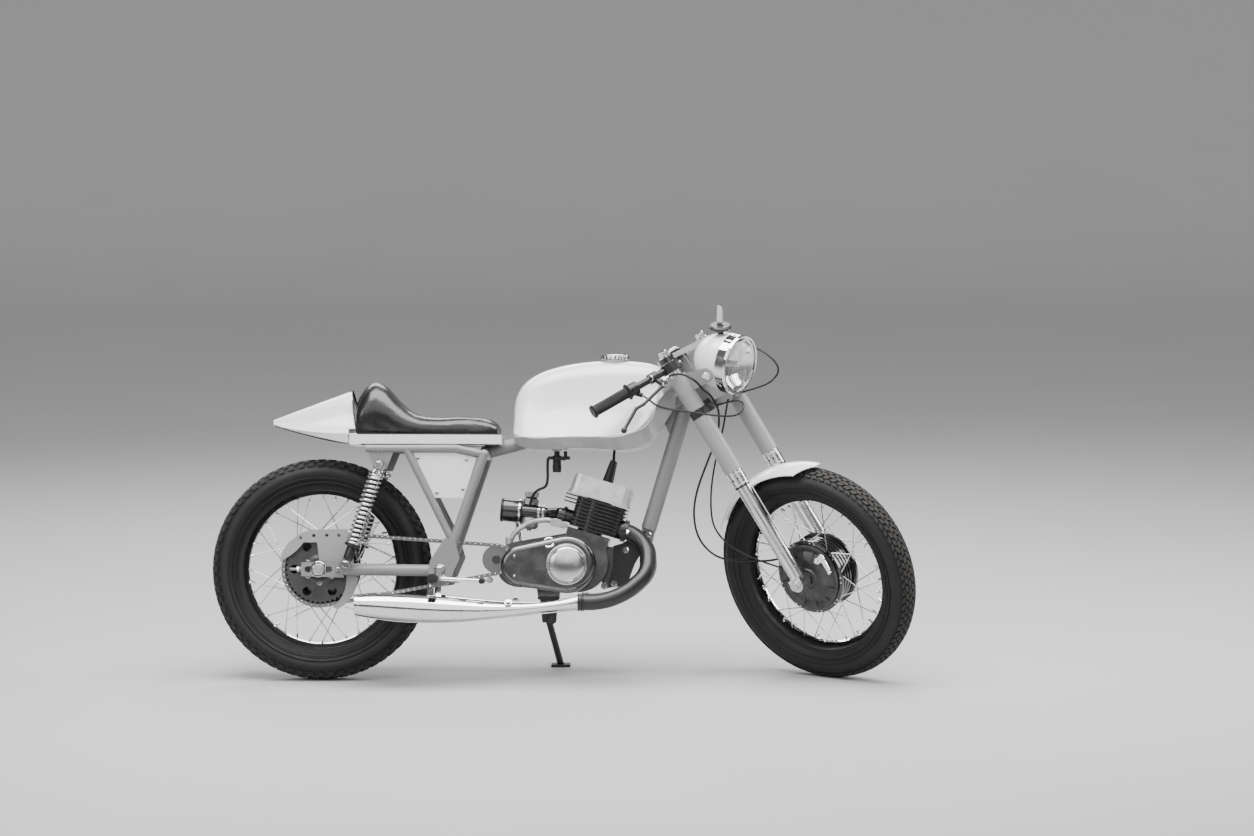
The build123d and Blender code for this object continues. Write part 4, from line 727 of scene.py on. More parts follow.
class StudioStage(bpy.types.Operator):
    """Camera at the photograph's viewing angle, a pale floor and soft studio light"""

    bl_idname = "motorcycle.stage"
    bl_label = "Stage"

    def execute(self, context):
        settings = context.scene.motorcycle_stage
        yaw, pitch, roll = (math.radians(angle) for angle in CAMERA_ANGLES)
        view = bpy.data.cameras.new("camera")
        view.lens = settings.focal_length
        view.sensor_width = SENSOR_WIDTH
        camera = add_object("camera", view)
        aim = Matrix.Translation(Vector(JOINTS["rear_wheel_spin"]["pos_m"]) + CAMERA_PLACE)
        for angle, axis in ((-yaw, "Z"), (math.pi / 2 - pitch, "X"), (roll, "Z")):
            aim @= Matrix.Rotation(angle, 4, axis)
        camera.matrix_world = aim
        context.scene.camera = camera

        profile = [(-FLOOR_HALF, 0.0)]
        for step in range(13):
            turn = math.pi / 2 * step / 12
            profile.append((WALL_AT - WALL_CURVE * (1 - math.sin(turn)), WALL_CURVE * (1 - math.cos(turn))))
        profile.append((WALL_AT, WALL_TOP))
        mesh = bpy.data.meshes.new("studio_floor")
        faces = [(2 * i, 2 * i + 1, 2 * i + 3, 2 * i + 2) for i in range(len(profile) - 1)]
        mesh.from_pydata([(x, y, z) for y, z in profile for x in (-FLOOR_HALF, FLOOR_HALF)], [], faces)
        mesh.polygons.foreach_set("use_smooth", [True] * len(faces))
        mesh.materials.append(plain_floor("studio_floor", settings.floor_level, settings.wall_level))
        add_object("studio_floor", mesh)

        world = bpy.data.worlds.new("studio")
        world.use_nodes = True
        background = world.node_tree.nodes["Background"]
        background.inputs["Color"].default_value = (*SKY_COLOUR, 1)
        background.inputs["Strength"].default_value = SKY_GLOW
        context.scene.world = world
        for name, place, aim, size, share in LIGHTS:
            lamp = bpy.data.lights.new(name, "AREA")
            lamp.shape = "RECTANGLE"
            lamp.size, lamp.size_y = size
            lamp.energy = settings.key_power * share
            light = add_object(name, lamp)
            light.location = place
            light.rotation_mode = "QUATERNION"
            light.rotation_quaternion = (Vector(aim) - Vector(place)).to_track_quat("-Z", "Y")
        fill = bpy.data.lights.new("sky", "SUN")
        fill.energy = SKY_POWER
        fill.angle = SKY_WIDTH
        add_object("sky", fill).rotation_euler = (SKY_TILT, 0, 0)
        return {"FINISHED"}


class Finishes(bpy.types.Operator):
    """Enamel, plating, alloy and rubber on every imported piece"""

    bl_idname = "motorcycle.finishes"
    bl_label = "Finishes"

    def execute(self, context):
        make_finishes()
        given = {name: finish for finish, names in NODE_FINISHES.items() for name in names.split()}
        bare = sorted(set(NODES) - set(given))
        if bare:
            raise RuntimeError(f"no finish for {bare}")
        for name, node in NODES.items():
            node.data.materials.clear()
            node.data.materials.append(FINISHES[given[name]])
        return {"FINISHED"}


def cable(name, route, radius, home):
    """Black control cable or hose on one smooth curve, with these control points."""
    place, body = home
    curve = bpy.data.curves.new(name, "CURVE")
    curve.dimensions = "3D"
    spline = curve.splines.new("NURBS")
    spline.points.add(len(route) - 1)
    for point, at in zip(spline.points, route):
        point.co = (*(place @ Vector(at)), 1)
    spline.order_u = 3
    spline.use_endpoint_u = True
    curve.resolution_u = 10
    curve.bevel_depth = radius * 0.001
    curve.bevel_resolution = 3
    curve.use_fill_caps = True
    curve.materials.append(FINISHES["soft_black"])
    piece = add_object(name, curve)
    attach(piece, body)
    place @ Vector(route[0])


# Control cables on the fork: name, radius, length in metres, and the route
CABLES = (
    ("front_brake_cable", 3.2, 1.005, (
        (42, -132, 707), (58, -127, 707), (84, -116, 690), (102, -108, 656), (98, -96, 626), (90, -72, 606),
        (84, -58, 580), (76, -56, 545), (30, -56, 492), (-60, -58, 440), (-150, -60, 385), (-205, -64, 330),
        (-234, -66, 262), (-215, -66, 195), (-160, -66, 155), (-100, -66, 126), (-40, -66, 100), (10, -66, 88),
        (52, -66, 70),
    )),
    ("speedometer_cable", 2.8, 0.655, (
        (84, 0, 566), (60, -8, 540), (30, -24, 500), (-20, -44, 450), (-94, -58, 375), (-150, -62, 300),
        (-162, -64, 250), (-140, -65, 190), (-90, -65, 130), (-40, -64, 84), (-14, -62, 60),
    )),
    ("clutch_cable", 2.8, 0.387, (
        (42, 132, 707), (60, 140, 705), (115, 138, 692), (168, 131, 655), (200, 130, 605), (202, 130, 562),
        (160, 124, 545), (115, 100, 552), (76, 62, 568),
    )),
    ("throttle_cable", 2.8, 0.485, (
        (-16, -204, 697), (-10, -198, 680), (-8, -188, 655), (8, -168, 628), (48, -150, 594), (110, -140, 548),
        (165, -134, 514), (194, -124, 506), (204, -104, 518), (188, -80, 538), (140, -58, 552), (78, -46, 566),
    )),
)


class Cables(bpy.types.Operator):
    """Brake, speedometer, clutch and throttle cables"""

    bl_idname = "motorcycle.cables"
    bl_label = "Cables"

    def execute(self, context):
        for name, radius, length, route in CABLES:
            cable(name, route, radius, STEERING)
        return {"FINISHED"}


def tread_surface(half_shoulder, half_width):
    """Function from the distance across a tyre's crown to a point of it and its outward way, and the crown's edge."""
    crown = (half_shoulder**2 + SHOULDER_DROP**2) / (2 * SHOULDER_DROP)
    edge_angle = math.asin(half_shoulder / crown)
    edge = crown * edge_angle
    side_way = Vector((WIDEST_RADIUS - TYRE_RADIUS + SHOULDER_DROP, half_width - half_shoulder))
    side_length = side_way.length
    side_way /= side_length
    side_out = Vector((abs(side_way.y), abs(side_way.x)))

    def point(across):
        side = 1 if across >= 0 else -1
        angle = min(abs(across) / crown, edge_angle)
        out = Vector((math.cos(angle), math.sin(angle)))
        place = Vector((TYRE_RADIUS - crown, 0)) + out * crown
        past = abs(across) - edge
        if past > 0:
            share = past / side_length
            place += side_way * past + side_out * 3.0 * math.sin(math.pi / 2 * min(share, 1.0))
            blend = min(share * 2.5, 1)
            out = (out * (1 - blend) + side_out * blend).normalized()
        place -= out * 0.15
        return Vector((place.x, side * place.y)), Vector((out.x, side * out.y))

    return point, edge


def tread_block(shape, point, corners, depth):
    """Raised block, a little narrower at its top, from its (turn in radians, distance across) corners."""
    rings = []
    middle_turn, middle_across = (sum(part) / len(corners) for part in zip(*corners))
    for share, drop in ((1.0, depth), (0.9, 0.0)):
        ring = []
        for turn, across in corners:
            place, out = point(middle_across + (across - middle_across) * share)
            place -= out * drop
            ring.append(wheel_way(middle_turn + (turn - middle_turn) * share) * place.x + ACROSS * place.y)
        rings.append(ring)
    shape.skin(rings, caps=(False, True))


def tyre_profile(point, edge, half_width, groove):
    """Profile of the sidewalls and the floor of the tread, down to the beads."""
    crown = []
    for i in range(-12, 13):
        place, out = point(edge * i / 12)
        crown.append(tuple(place - out * groove))
    top_radius, top_y = crown[-1]
    wall = []
    for i in range(1, 13):
        radius = top_radius + (RIM_RADIUS + 3 - top_radius) * i / 12
        if radius >= WIDEST_RADIUS:
            swell = math.sin(math.pi / 2 * (top_radius - radius) / (top_radius - WIDEST_RADIUS))
            y = top_y + (half_width - top_y) * swell
        else:
            fall = (WIDEST_RADIUS - radius) / (WIDEST_RADIUS - RIM_RADIUS)
            y = half_width - (half_width - HALF_BEAD) * (1 - math.cos(math.pi / 2 * fall))
        wall.append((radius, y))
    for rise, out in ((1.5, 1.0), (-1, -0.5), (-11, -1.5)):
        wall.append((RIM_RADIUS + rise, HALF_BEAD + out))
    return [(radius, -y) for radius, y in reversed(wall)] + crown + wall + [(RIM_RADIUS - 11, 0)]


def front_blocks(edge):
    """Seven staggered rows of chevrons: corners in shares of a step round the tyre, and across it."""
    rows = 7
    width = 2 * edge * 1.06 / rows
    blocks = []
    for row in range(rows):
        shift, wave = (0.5, 0.16) if row % 2 else (0.0, -0.16)
        low, high = ((row - (rows - 1) / 2 + half) * width for half in (-0.44, 0.44))
        blocks.append([
            (shift - 0.36 + wave, low), (shift - 0.36 - wave, high),
            (shift + 0.36 - wave, high), (shift + 0.36 + wave, low)])
    return blocks


def rear_blocks(edge):
    """Centre, middle and shoulder blocks on each side, in the same terms."""
    pattern = (
        ((-0.34, 2.2), (-0.10, 14.5), (0.58, 14.5), (0.34, 2.2)),
        ((0.10, 18.0), (0.22, 32.0), (0.86, 32.0), (0.78, 18.0)),
        ((-0.30, 35.5), (-0.26, edge + 9), (0.30, edge + 9), (0.36, 35.5)),
    )
    return [[(turn, side * across) for turn, across in block] for side, _ in SIDES for block in pattern]


class Tyres(bpy.types.Operator):
    """Tyres with their tread blocks and sidewall ribs"""

    bl_idname = "motorcycle.tyres"
    bl_label = "Tyres"

    def execute(self, context):
        settings = context.scene.motorcycle_tyres
        groove = settings.groove_depth
        for end, place, half_shoulder, half_width, pattern, count in (
            ("front", FRONT_WHEEL, 35.0, 46.0, front_blocks, settings.front_blocks),
            ("rear", REAR_WHEEL, 40.0, 51.0, rear_blocks, settings.rear_blocks),
        ):
            point, edge = tread_surface(half_shoulder, half_width)
            profiles = [tyre_profile(point, edge, half_width - 0.4, groove)]
            for radius, share in ((268, 0.97), (254, 0.87)):
                profiles += [circle(1.6, 8, (radius, side * (half_width * share - 0.6))) for side, _ in SIDES]
            shape = Shape().parts([(LATHE, (0, 0, 0), ACROSS, profile, 168, True) for profile in profiles], (1,))
            step = 2 * math.pi / count
            for i in range(count):
                for block in pattern(edge):
                    tread_block(shape, point, [((i + turn) * step, across) for turn, across in block], groove + 0.4)
            label = f"{end}_tyre"
            FINISHES[label] = tyre_rubber(
                f"{label}_rubber", place.translation, (place.to_3x3() @ ACROSS).normalized())
            make(f"{label}_treaded", shape, (place, f"{end}_wheel"), label, sharp=50, replaces=label)
        return {"FINISHED"}


# Seat: columns are x, height of the top, half width, and how square the section is
SEAT_ROWS = (
    (-626, 806, 86, 2.3),
    (-606, 842, 96, 2.2),
    (-574, 868, 99, 2.15),
    (-540, 852, 100, 2.2),
    (-500, 806, 101, 2.5),
    (-455, 772, 101, 3.0),
    (-400, 762, 99, 3.2),
    (-320, 763, 93, 3.2),
    (-250, 759, 85, 3.0),
    (-212, 748, 74, 2.6),
)
SEAT_BOTTOM = 691.5
SEAT_PIPING_Z = 714


def seat_form():
    """Closed form of the seat, a little smaller than it swells to."""
    columns = [[p.x for p in curve_through([(value, 0, 0) for value in column], 6)] for column in zip(*SEAT_ROWS)]
    rings = []
    for x, top, half, square in zip(*columns):
        middle, rise = (top + SEAT_BOTTOM) / 2, (top - SEAT_BOTTOM) / 2
        ring = []
        for turn in turns(48):
            c, s = math.cos(turn), math.sin(turn)
            across = math.copysign(abs(c) ** (2 / square), c) * half
            lift = math.copysign(abs(s) ** (2 / square), s) * rise
            ring.append((x, across, middle + (lift if lift > 0 else max(lift * 1.25, -rise))))
        rings.append(ring)
    return Shape().skin(rings)


def swell(piece, voxel, pressure, cap, held_below):
    """Blows the cover up as cloth over 20 frames, then keeps the result, moved by no more than the cap."""
    scene = bpy.context.scene
    remesh = piece.modifiers.new("remesh", "REMESH")
    remesh.mode = "VOXEL"
    remesh.voxel_size = voxel
    mesh = bpy.data.meshes.new_from_object(piece.evaluated_get(bpy.context.evaluated_depsgraph_get()))
    piece.modifiers.remove(remesh)
    piece.data = mesh
    mesh.polygons.foreach_set("use_smooth", [True] * len(mesh.polygons))
    before = [vertex.co.copy() for vertex in mesh.vertices]
    held = piece.vertex_groups.new(name="held")
    held.add([i for i, point in enumerate(before) if held_below(point)], 1.0, "REPLACE")
    cloth = piece.modifiers.new("cloth", "CLOTH")
    cloth.settings.use_pressure = True
    cloth.settings.uniform_pressure_force = pressure
    cloth.settings.vertex_group_mass = "held"
    cloth.settings.effector_weights.gravity = 0
    for step in range(1, 21):
        scene.frame_set(step)
    blown = piece.evaluated_get(bpy.context.evaluated_depsgraph_get()).data
    after = [vertex.co.copy() for vertex in blown.vertices]
    piece.modifiers.remove(cloth)
    for vertex, start, end in zip(mesh.vertices, before, after):
        move = end - start
        vertex.co = start + move * min(1.0, cap / max(move.length, 1e-9))
    scene.frame_set(1)


class Seat(bpy.types.Operator):
    """Seat pad with its hump, swollen as stuffed vinyl, and its piping"""

    bl_idname = "motorcycle.seat"
    bl_label = "Seat"

    def execute(self, context):
        settings = context.scene.motorcycle_seat
        piece = make("seat_cushion", seat_form(), CHASSIS, "vinyl", sharp=180, replaces="seat_pad")
        to_bike = BIKE.inverted()
        swell(piece, 0.006, settings.pressure, settings.swelling * 0.001,
              lambda point: (to_bike @ point).z < SEAT_BOTTOM + 6)
        smooth = piece.modifiers.new("smooth", "SUBSURF")
        smooth.levels = smooth.render_levels = 1
        right = [(x, -half - 3.5, SEAT_PIPING_Z) for x, top, half, square in SEAT_ROWS]
        edge = [(-628, 0, SEAT_PIPING_Z)] + right + [(-205, 0, SEAT_PIPING_Z)]
        edge += [(x, -y, z) for x, y, z in reversed(right)]
        piping = Shape().tube(curve_through(edge, 6, loop=True), 2.6, 8, loop=True)
        make("seat_piping", piping, CHASSIS, "soft_black")
        return {"FINISHED"}


class Headlamp(bpy.types.Operator):
    """Fluted lens, reflector, bulb, and the screws of the headlamp"""

    bl_idname = "motorcycle.headlamp"
    bl_label = "Headlamp"

    def execute(self, context):
        settings = context.scene.motorcycle_headlamp
        # Rings across the lens, its radius, how far its edge and back lie along the beam, and its bulge
        steps, edge, edge_at, back_at, bulge = 36, 79.4, -3.0, -6.8, 9.8
        rings = []
        for front, way in ((True, 1), (False, -1)):
            for step in range(1, steps + 1)[::way]:
                radius = edge * step / steps
                ring = []
                for y, z in circle(radius, 144, (0, 0)):
                    depth = edge_at + bulge * (1 - (radius / edge) ** 2)
                    if not front:
                        fade = min((edge - radius) / 6, 1)
                        flute = math.cos(2 * math.pi * (y + 1.5 * math.sin(z / 13)) / settings.flute_pitch)
                        depth = back_at + settings.flute_depth * fade * flute
                    ring.append(LAMP_CENTRE + ACROSS * y + LAMP_UP * z + LAMP_OUT * depth)
                rings.append(ring)
        make("headlamp_glass", Shape().skin(rings), STEERING, "glass", sharp=60, replaces="headlamp_lens")

        bowl = [(69.5 - run, -33 + 24 * (1 - run / 69.5) ** 2) for run in (4.2 * step for step in range(1, 15))]
        bowl = [(69.5, -8.6)] + bowl + [(10, -33.2), (0, -33.2)]
        bulb = [(0, -33), (9, -33), (9, -27), (6, -26), (8.5, -20), (7, -13.5), (3, -11), (0, -10.5)]
        for name, profile, sides, finish, slot in (
            ("headlamp_reflector", bowl, 72, "mirror", "chrome"), ("headlamp_bulb", bulb, 24, "bulb", "lens"),
        ):
            make(name, Shape().lathe(LAMP_CENTRE, LAMP_OUT, profile, sides), STEERING, finish)

        screws = Shape().parts([
            (BOLT, (132, 90.5, 654), ACROSS, 17, 8),
            (LATHE, (132, 90.3, 654), ACROSS, [(14, 0), (14.5, 1), (14.5, 3), (10, 4.2), (0, 4.2)], 32),
        ])
        for angle in (90, 210, 330):
            turn = math.radians(angle)
            way = ACROSS * math.cos(turn) + LAMP_UP * math.sin(turn)
            screws.screw(LAMP_CENTRE + way * 87.6 - LAMP_OUT * 20, way, 4.0, 2.4)
        make("headlamp_screws", screws, STEERING, "chrome", sharp=30)
        return {"FINISHED"}


# Shock absorbers: the middle of the lower and the upper eye, on the left
SHOCK_EYES = ((-646, 138, 336), (-551, 138, 624))


class Shocks(bpy.types.Operator):
    """Coil springs round their dampers, with the eyes, cups and collars"""

    bl_idname = "motorcycle.shocks"
    bl_label = "Shocks"

    def execute(self, context):
        settings = context.scene.motorcycle_shocks
        eye = [(12.6, -11.5), (17.4, -11.5), (17.8, -10), (17.8, 10), (17.4, 11.5), (12.6, 11.5)]
        for side, name in SIDES:
            low, high = (Vector((x, side * y, z)) for x, y, z in SHOCK_EYES)
            out = ACROSS * side
            way, length = (high - low).normalized(), (high - low).length
            unit, nuts = Shape(), Shape()
            unit.helix(low + way * 63, high - way * 29, 19.0, settings.wire, settings.coils)
            unit.tint = 1
            unit.lathe(low, way, [
                (0, 14), (13.5, 14), (14, 18), (14, 50), (12.5, 54), (12.5, length - 32), (0, length - 30)], 32)
            unit.lathe(low, way, [(12, 54), (22.6, 55), (23, 58), (22.6, 61.5), (13, 62.5)], 40, True)
            unit.tint = 2
            unit.lathe(high, way, [(7, -28), (23, -27.5), (23.3, -24), (16, -20), (13, -15), (0, -14)], 40)
            for centre, stud in ((low, 7.4), (high, 8.4)):
                unit.tint = 2
                unit.lathe(centre, out, eye, 36, True)
                unit.tint = 3
                unit.band(centre, out, stud, 12.5, -11.8, 11.8, 28)
                nuts.lathe(centre, out, [(0, 12.4), (13.5, 12.4), (14, 13), (13.5, 14.2), (0, 14.2)], 28)
                nuts.bolt(centre + out * 14, out, 19, 8, False)
            make(f"shock_{name}_unit", unit, CHASSIS, ("chrome", "black_satin", "dull_chrome", "soft_black"),
                 replaces=f"shock_{name}")
            make(f"shock_{name}_nuts", nuts, CHASSIS, "dull_chrome", sharp=30)
        return {"FINISHED"}


# Handlebars: sweep, reach and height of each bar from its clamp, and the length of the grips
BAR_SWEEP, BAR_REACH, BAR_Z, GRIP_LENGTH = -137.0, 245.0, 728.0, 128.0


class Controls(bpy.types.Operator):
    """Ribbed grips, throttle outlet, lever clamps and their bolts"""

    bl_idname = "motorcycle.controls"
    bl_label = "Controls"

    def execute(self, context):
        settings = context.scene.motorcycle_controls
        ridge = settings.rib_depth
        profile = [
            (13, 0.2, 0), (22.5, 0.2, 0), (24.3, 1.2, 0), (24.3, 3.6, 0), (22.5, 4.8, 0), (17.5, 6.5, 0),
            (16.4, 9, 0), (16.4, 11, ridge), (16.4, 60, ridge), (16.4, 116, ridge), (16.4, 118, 0),
            (18.5, 120, 0), (20.2, 122, 0), (20.4, 124.5, 0), (18.5, 127, 0), (15, 127.9, 0), (9, 127.9, 0)]
        adjuster = [(6.5, 0, 0.8), (6.5, 8, 0.8), (4.5, 8.5, 0), (4.5, 20, 0), (3, 21, 0)]
        for side, name in SIDES:
            along = Vector((BAR_SWEEP, side * BAR_REACH, 0)).normalized()
            ahead = Vector((BAR_REACH, -side * BAR_SWEEP, 0)).normalized()
            clamp = Vector((FORK_OFFSET, side * LEG_Y, BAR_Z))
            perch = clamp + along * 66
            start = clamp + along * (math.hypot(BAR_SWEEP, BAR_REACH) - GRIP_LENGTH)
            grip = Shape().ribbed(start, along, profile, settings.ribs, settings.ribs * 6)
            make(f"grip_{name}_ribbed", grip, STEERING, "rubber", sharp=50, replaces=f"grip_{name}")

            bright = Shape().bolt(clamp + along * 54 + ahead * 27 - UP * 34, ahead, 13, 6)
            bright.ribbed(perch - along * 14 + ahead * 20 - UP * 21, -along, adjuster, 14, 56)
            bright.wire_ring(perch + Vector((4, side * 15.5, 1)), (0.1, side, 0.1), 7.5, 2.0, 28)
            bright.disc(clamp + UP * 14.2, UP, 9.5, 0, 2)
            for shift, turn in ((-7, 0.9), (7, 2.2)):
                bright.screw(perch + along * shift - ahead * 15.8, -ahead, 4.2, 3)
                way = ahead * math.cos(turn) - along * math.sin(turn)
                bright.bolt(clamp + way * 29.5, way, 8, 4, False)
            make(f"bar_{name}_fittings", bright, STEERING, "chrome", sharp=32)
            if side < 0:
                outlet = start - along * 16 - UP * 14
                housing = Shape().tube([outlet, outlet - along * 14 - UP * 16 + ahead * 4], 7, 20)
                for run in (8, 21):
                    housing.screw(start - along * run + ahead * 19.8, ahead, 3.4, 2)
                make("throttle_outlet", housing, STEERING, "soft_black")
        caps = Shape().bolt((0, 0, 770.5), UP, 30, 8).parts([
            (LATHE, (FORK_OFFSET, LEG_Y, 776.2), UP, [(0, 0), (13, 0), (13.5, 1), (13.5, 4), (11, 6), (0, 7)], 32),
            (BOLT, (-6, 27, 760.3), UP, 12, 5),
        ])
        make("yoke_caps", caps, STEERING, "chrome", sharp=30)
        return {"FINISHED"}


class ForkDetails(bpy.types.Operator):
    """Black discs painted as the shade in the collars' holes, the collars' seals, clamp bolts, and the stays' bolts"""

    bl_idname = "motorcycle.fork_details"
    bl_label = "Fork details"

    def execute(self, context):
        leg = Vector((FORK_OFFSET, LEG_Y, 0))
        rows = [(LATHE, leg + UP * 324, UP, [(21.6, 0), (24.2, 0.5), (24.2, 5), (22.5, 6), (18.2, 6)], 40)]
        # Thin black discs painted as the shade inside the collars' holes
        for turn in turns(10, math.pi / 10):
            way = Vector((math.cos(turn), math.sin(turn), 0))
            rows.append((DISC, leg + UP * 352 + way * 24.9, way, 3.0, 0, 0.25, 16))
        make("fork_collar_seals_and_hole_shade", Shape().parts(rows), STEERING, "soft_black")
        bright = Shape().parts([
            (RING, leg + UP * 334, UP, 25.0, 0.9, 40),
            (RING, leg + UP * 368, UP, 25.0, 0.9, 40),
            (BOLT, leg + Vector((-14, 0, -4)), -UP, 10, 5),
            (BOLT, leg + Vector((14, 0, -4)), -UP, 10, 5),
            (LATHE, (FORK_OFFSET, 117.3, 0), ACROSS, [(12, 0), (15, 0.3), (15, 3), (12, 3.4)], 32, True),
            (BOLT, (FORK_OFFSET, 117.3, 20), ACROSS, 11, 4),
            (BOLT, (FORK_OFFSET, 117.4, 0), ACROSS, 27, 10, False),
            (BOLT, (FORK_OFFSET, 65.7, 114), -ACROSS, 10, 3, False),
            (BOLT, (FORK_OFFSET, 65.7, 300), -ACROSS, 10, 3, False),
        ])
        make("fork_fasteners", bright, STEERING, "dull_chrome", sharp=30)
        return {"FINISHED"}


def brake_ribs(shape, outline, count, start, out, centre):
    """Thin ribs from the middle of a brake plate outwards, standing along its outward way."""
    for turn in turns(count, start):
        way = wheel_way(turn)
        shape.prism(outline, -1.6, 1.6, (-way.z, 0, way.x), way, out, centre)


class Brakes(bpy.types.Operator):
    """Front brake plate with its ribs, arm and adjuster, and the fittings of the rear one"""

    bl_idname = "motorcycle.brakes"
    bl_label = "Brakes"

    def execute(self, context):
        centre = (FORK_OFFSET, 0, 0)
        plate = Shape().lathe(centre, -ACROSS, [
            (8.8, 43), (97.8, 43), (97.8, 47.5), (96, 48.7), (90, 49.2), (86, 47.5), (80, 47.5), (76, 50.5),
            (60, 56), (52, 58.5), (46, 57.5), (32, 58), (28, 62), (20, 63), (20, 72.5), (8.8, 72.5),
        ], 96, True)
        brake_ribs(plate, [(50, 57), (50, 60), (76, 53), (92, 50.5), (92, 46), (76, 49)], 12, 0.2, -ACROSS, centre)
        plate.tint = 1
        cam = Vector((FORK_OFFSET + 66, 0, 30))
        plate.disc(cam, -ACROSS, 10, 50, 61)
        plate.disc(cam + Vector((21, 0, -46)), -ACROSS, 5, 57, 69, 20)
        plate.bolt(cam - ACROSS * 65.2, -ACROSS, 11, 4, False)
        arm = [(-7, 2), (-2, 9), (8, 8), (26, 14), (30, 8), (27, -42), (20, -52), (15, -42), (15, -8), (2, -7)]
        plate.prism(rounded(arm, 6), -65.5, -61.2, centre=cam)
        make("front_brake_plate_ribbed", plate, STEERING, ("cast_dark", "chrome"), sharp=34,
             bevel=0.5, replaces="front_brake_plate")

        rear, bright = Shape(), Shape()
        brake_ribs(rear, [(62, 56), (62, 60), (94, 51), (94, 47), (78, 50)], 10, 0.0, ACROSS, REAR_AXLE)
        make("rear_brake_ribs", rear, CHASSIS, "cast_dark")
        foot, pull, bend = (REAR_AXLE + Vector(shift) for shift in ((62, 69, 28), (92, 66, 78), (190, 84, 40)))
        bright.bolt(foot, ACROSS, 13, 5).bolt(pull, ACROSS, 10, 5).tube([pull + UP * 6, bend, (-392, 100, 282)], 3)
        make("rear_brake_rod", bright, CHASSIS, "dull_chrome", sharp=30)
        return {"FINISHED"}


# Spokes of each wheel: count, how far they turn between hub and rim, stagger, and radii of hub and rim ends
SPOKES, SPOKE_REACH, STAGGER, HUB_END, RIM_END = 36, math.radians(26), 2.3, 111.6, 214.6


class Wheels(bpy.types.Operator):
    """Spoke nipples and heads, valve stems, hub screws and the sprocket's bolts"""

    bl_idname = "motorcycle.wheels"
    bl_label = "Wheels"

    def execute(self, context):
        for name, place, closed in (("front", FRONT_WHEEL, 1), ("rear", REAR_WHEEL, -1)):
            home = (place, f"{name}_wheel")
            valve = wheel_way(math.radians(5))
            ends = Shape().tube([valve * 184, valve * 215], 2.6)
            for index, turn in enumerate(turns(SPOKES)):
                flange, lean = (1 if index % 2 else -1), (1 if (index // 2) % 2 else -1)
                out = wheel_way(turn + lean * SPOKE_REACH)
                hub_end = out * HUB_END + ACROSS * (flange * 38 + lean * STAGGER)
                rim_end = wheel_way(turn) * RIM_END + ACROSS * (flange * 4.5 + lean * STAGGER)
                way = (rim_end - hub_end).normalized()
                ends.lathe(rim_end - way * 13.8, way, [(2.0, 0), (3.0, 1), (3.0, 13), (3.6, 14), (0, 14)], 8)
                ends.lathe(out * 105 + ACROSS * flange * 42.8, ACROSS * flange,
                           [(0, 0), (2.6, 0), (2.2, 1.2), (0, 1.6)], 10)
            bolts = Shape()
            for turn in turns(8):
                bolts.screw(wheel_way(turn) * 52 + ACROSS * closed * 51.5, ACROSS * closed, 4, 3)
            if name == "rear":
                for turn in turns(6, math.pi / 6):
                    bolts.bolt(wheel_way(turn) * 40 + ACROSS * (CHAIN_Y - 4.6), -ACROSS, 12, 5)
            for label, shape in (("nipples", ends), ("hub_bolts", bolts)):
                make(f"{name}_{label}", shape, home, "dull_chrome", sharp=30)
        return {"FINISHED"}


# Drive chain: pitch, centre of the front sprocket, and teeth of both
PITCH, FRONT_SPROCKET, FRONT_TEETH, REAR_TEETH = 15.875, Vector((-215, 0, 352)), 16, 42


class Chain(bpy.types.Operator):
    """Pin heads of the drive chain"""

    bl_idname = "motorcycle.chain"
    bl_label = "Chain"

    def execute(self, context):
        rear_radius, front_radius = (PITCH / (2 * math.sin(math.pi / teeth)) for teeth in (REAR_TEETH, FRONT_TEETH))
        run = FRONT_SPROCKET - REAR_AXLE
        slope = math.atan2(run.z, run.x)
        wrap = math.acos((rear_radius - front_radius) / run.length)
        straight = run.length * math.sin(wrap)
        front_arc, rear_arc = front_radius * 2 * wrap, rear_radius * 2 * (math.pi - wrap)
        whole = 2 * straight + front_arc + rear_arc
        links = 2 * round(whole / PITCH / 2)
        rows = []
        for link in range(links):
            at = link * whole / links
            if at < straight:
                share, turn = at / straight, slope + wrap
            elif at < straight + front_arc:
                share, turn = 1.0, slope + wrap - (at - straight) / front_radius
            elif at < 2 * straight + front_arc:
                share, turn = (2 * straight + front_arc - at) / straight, slope - wrap
            else:
                share, turn = 0.0, slope - wrap - (at - 2 * straight - front_arc) / rear_radius
            radius = rear_radius + (front_radius - rear_radius) * share
            place = REAR_AXLE + run * share + wheel_way(turn) * radius + ACROSS * CHAIN_Y
            for out in (-ACROSS, ACROSS):
                rows.append((LATHE, place, out, [(0, 7.0), (2.5, 7.0), (2.5, 8.0), (1.8, 8.6), (0, 8.8)], 10))
        make("chain_pins", Shape().parts(rows, (1,)), CHASSIS, "dull_chrome", sharp=30)
        return {"FINISHED"}


# Barrels: distance of each from the middle, forward lean, and the middle of their foot
BARREL_Y = 46.0
BARREL_LEAN = math.radians(16.5)
BARREL_FOOT = Vector((54, 0, 430))
BARREL_AHEAD = Vector((math.cos(BARREL_LEAN), 0, -math.sin(BARREL_LEAN)))
BARREL_UP = Vector((math.sin(BARREL_LEAN), 0, math.cos(BARREL_LEAN)))


def barrel_point(ahead, y, up):
    """Point of the bike's frame, from distances ahead of and up the barrels' axis."""
    return BARREL_FOOT + BARREL_AHEAD * ahead + BARREL_UP * up + ACROSS * y


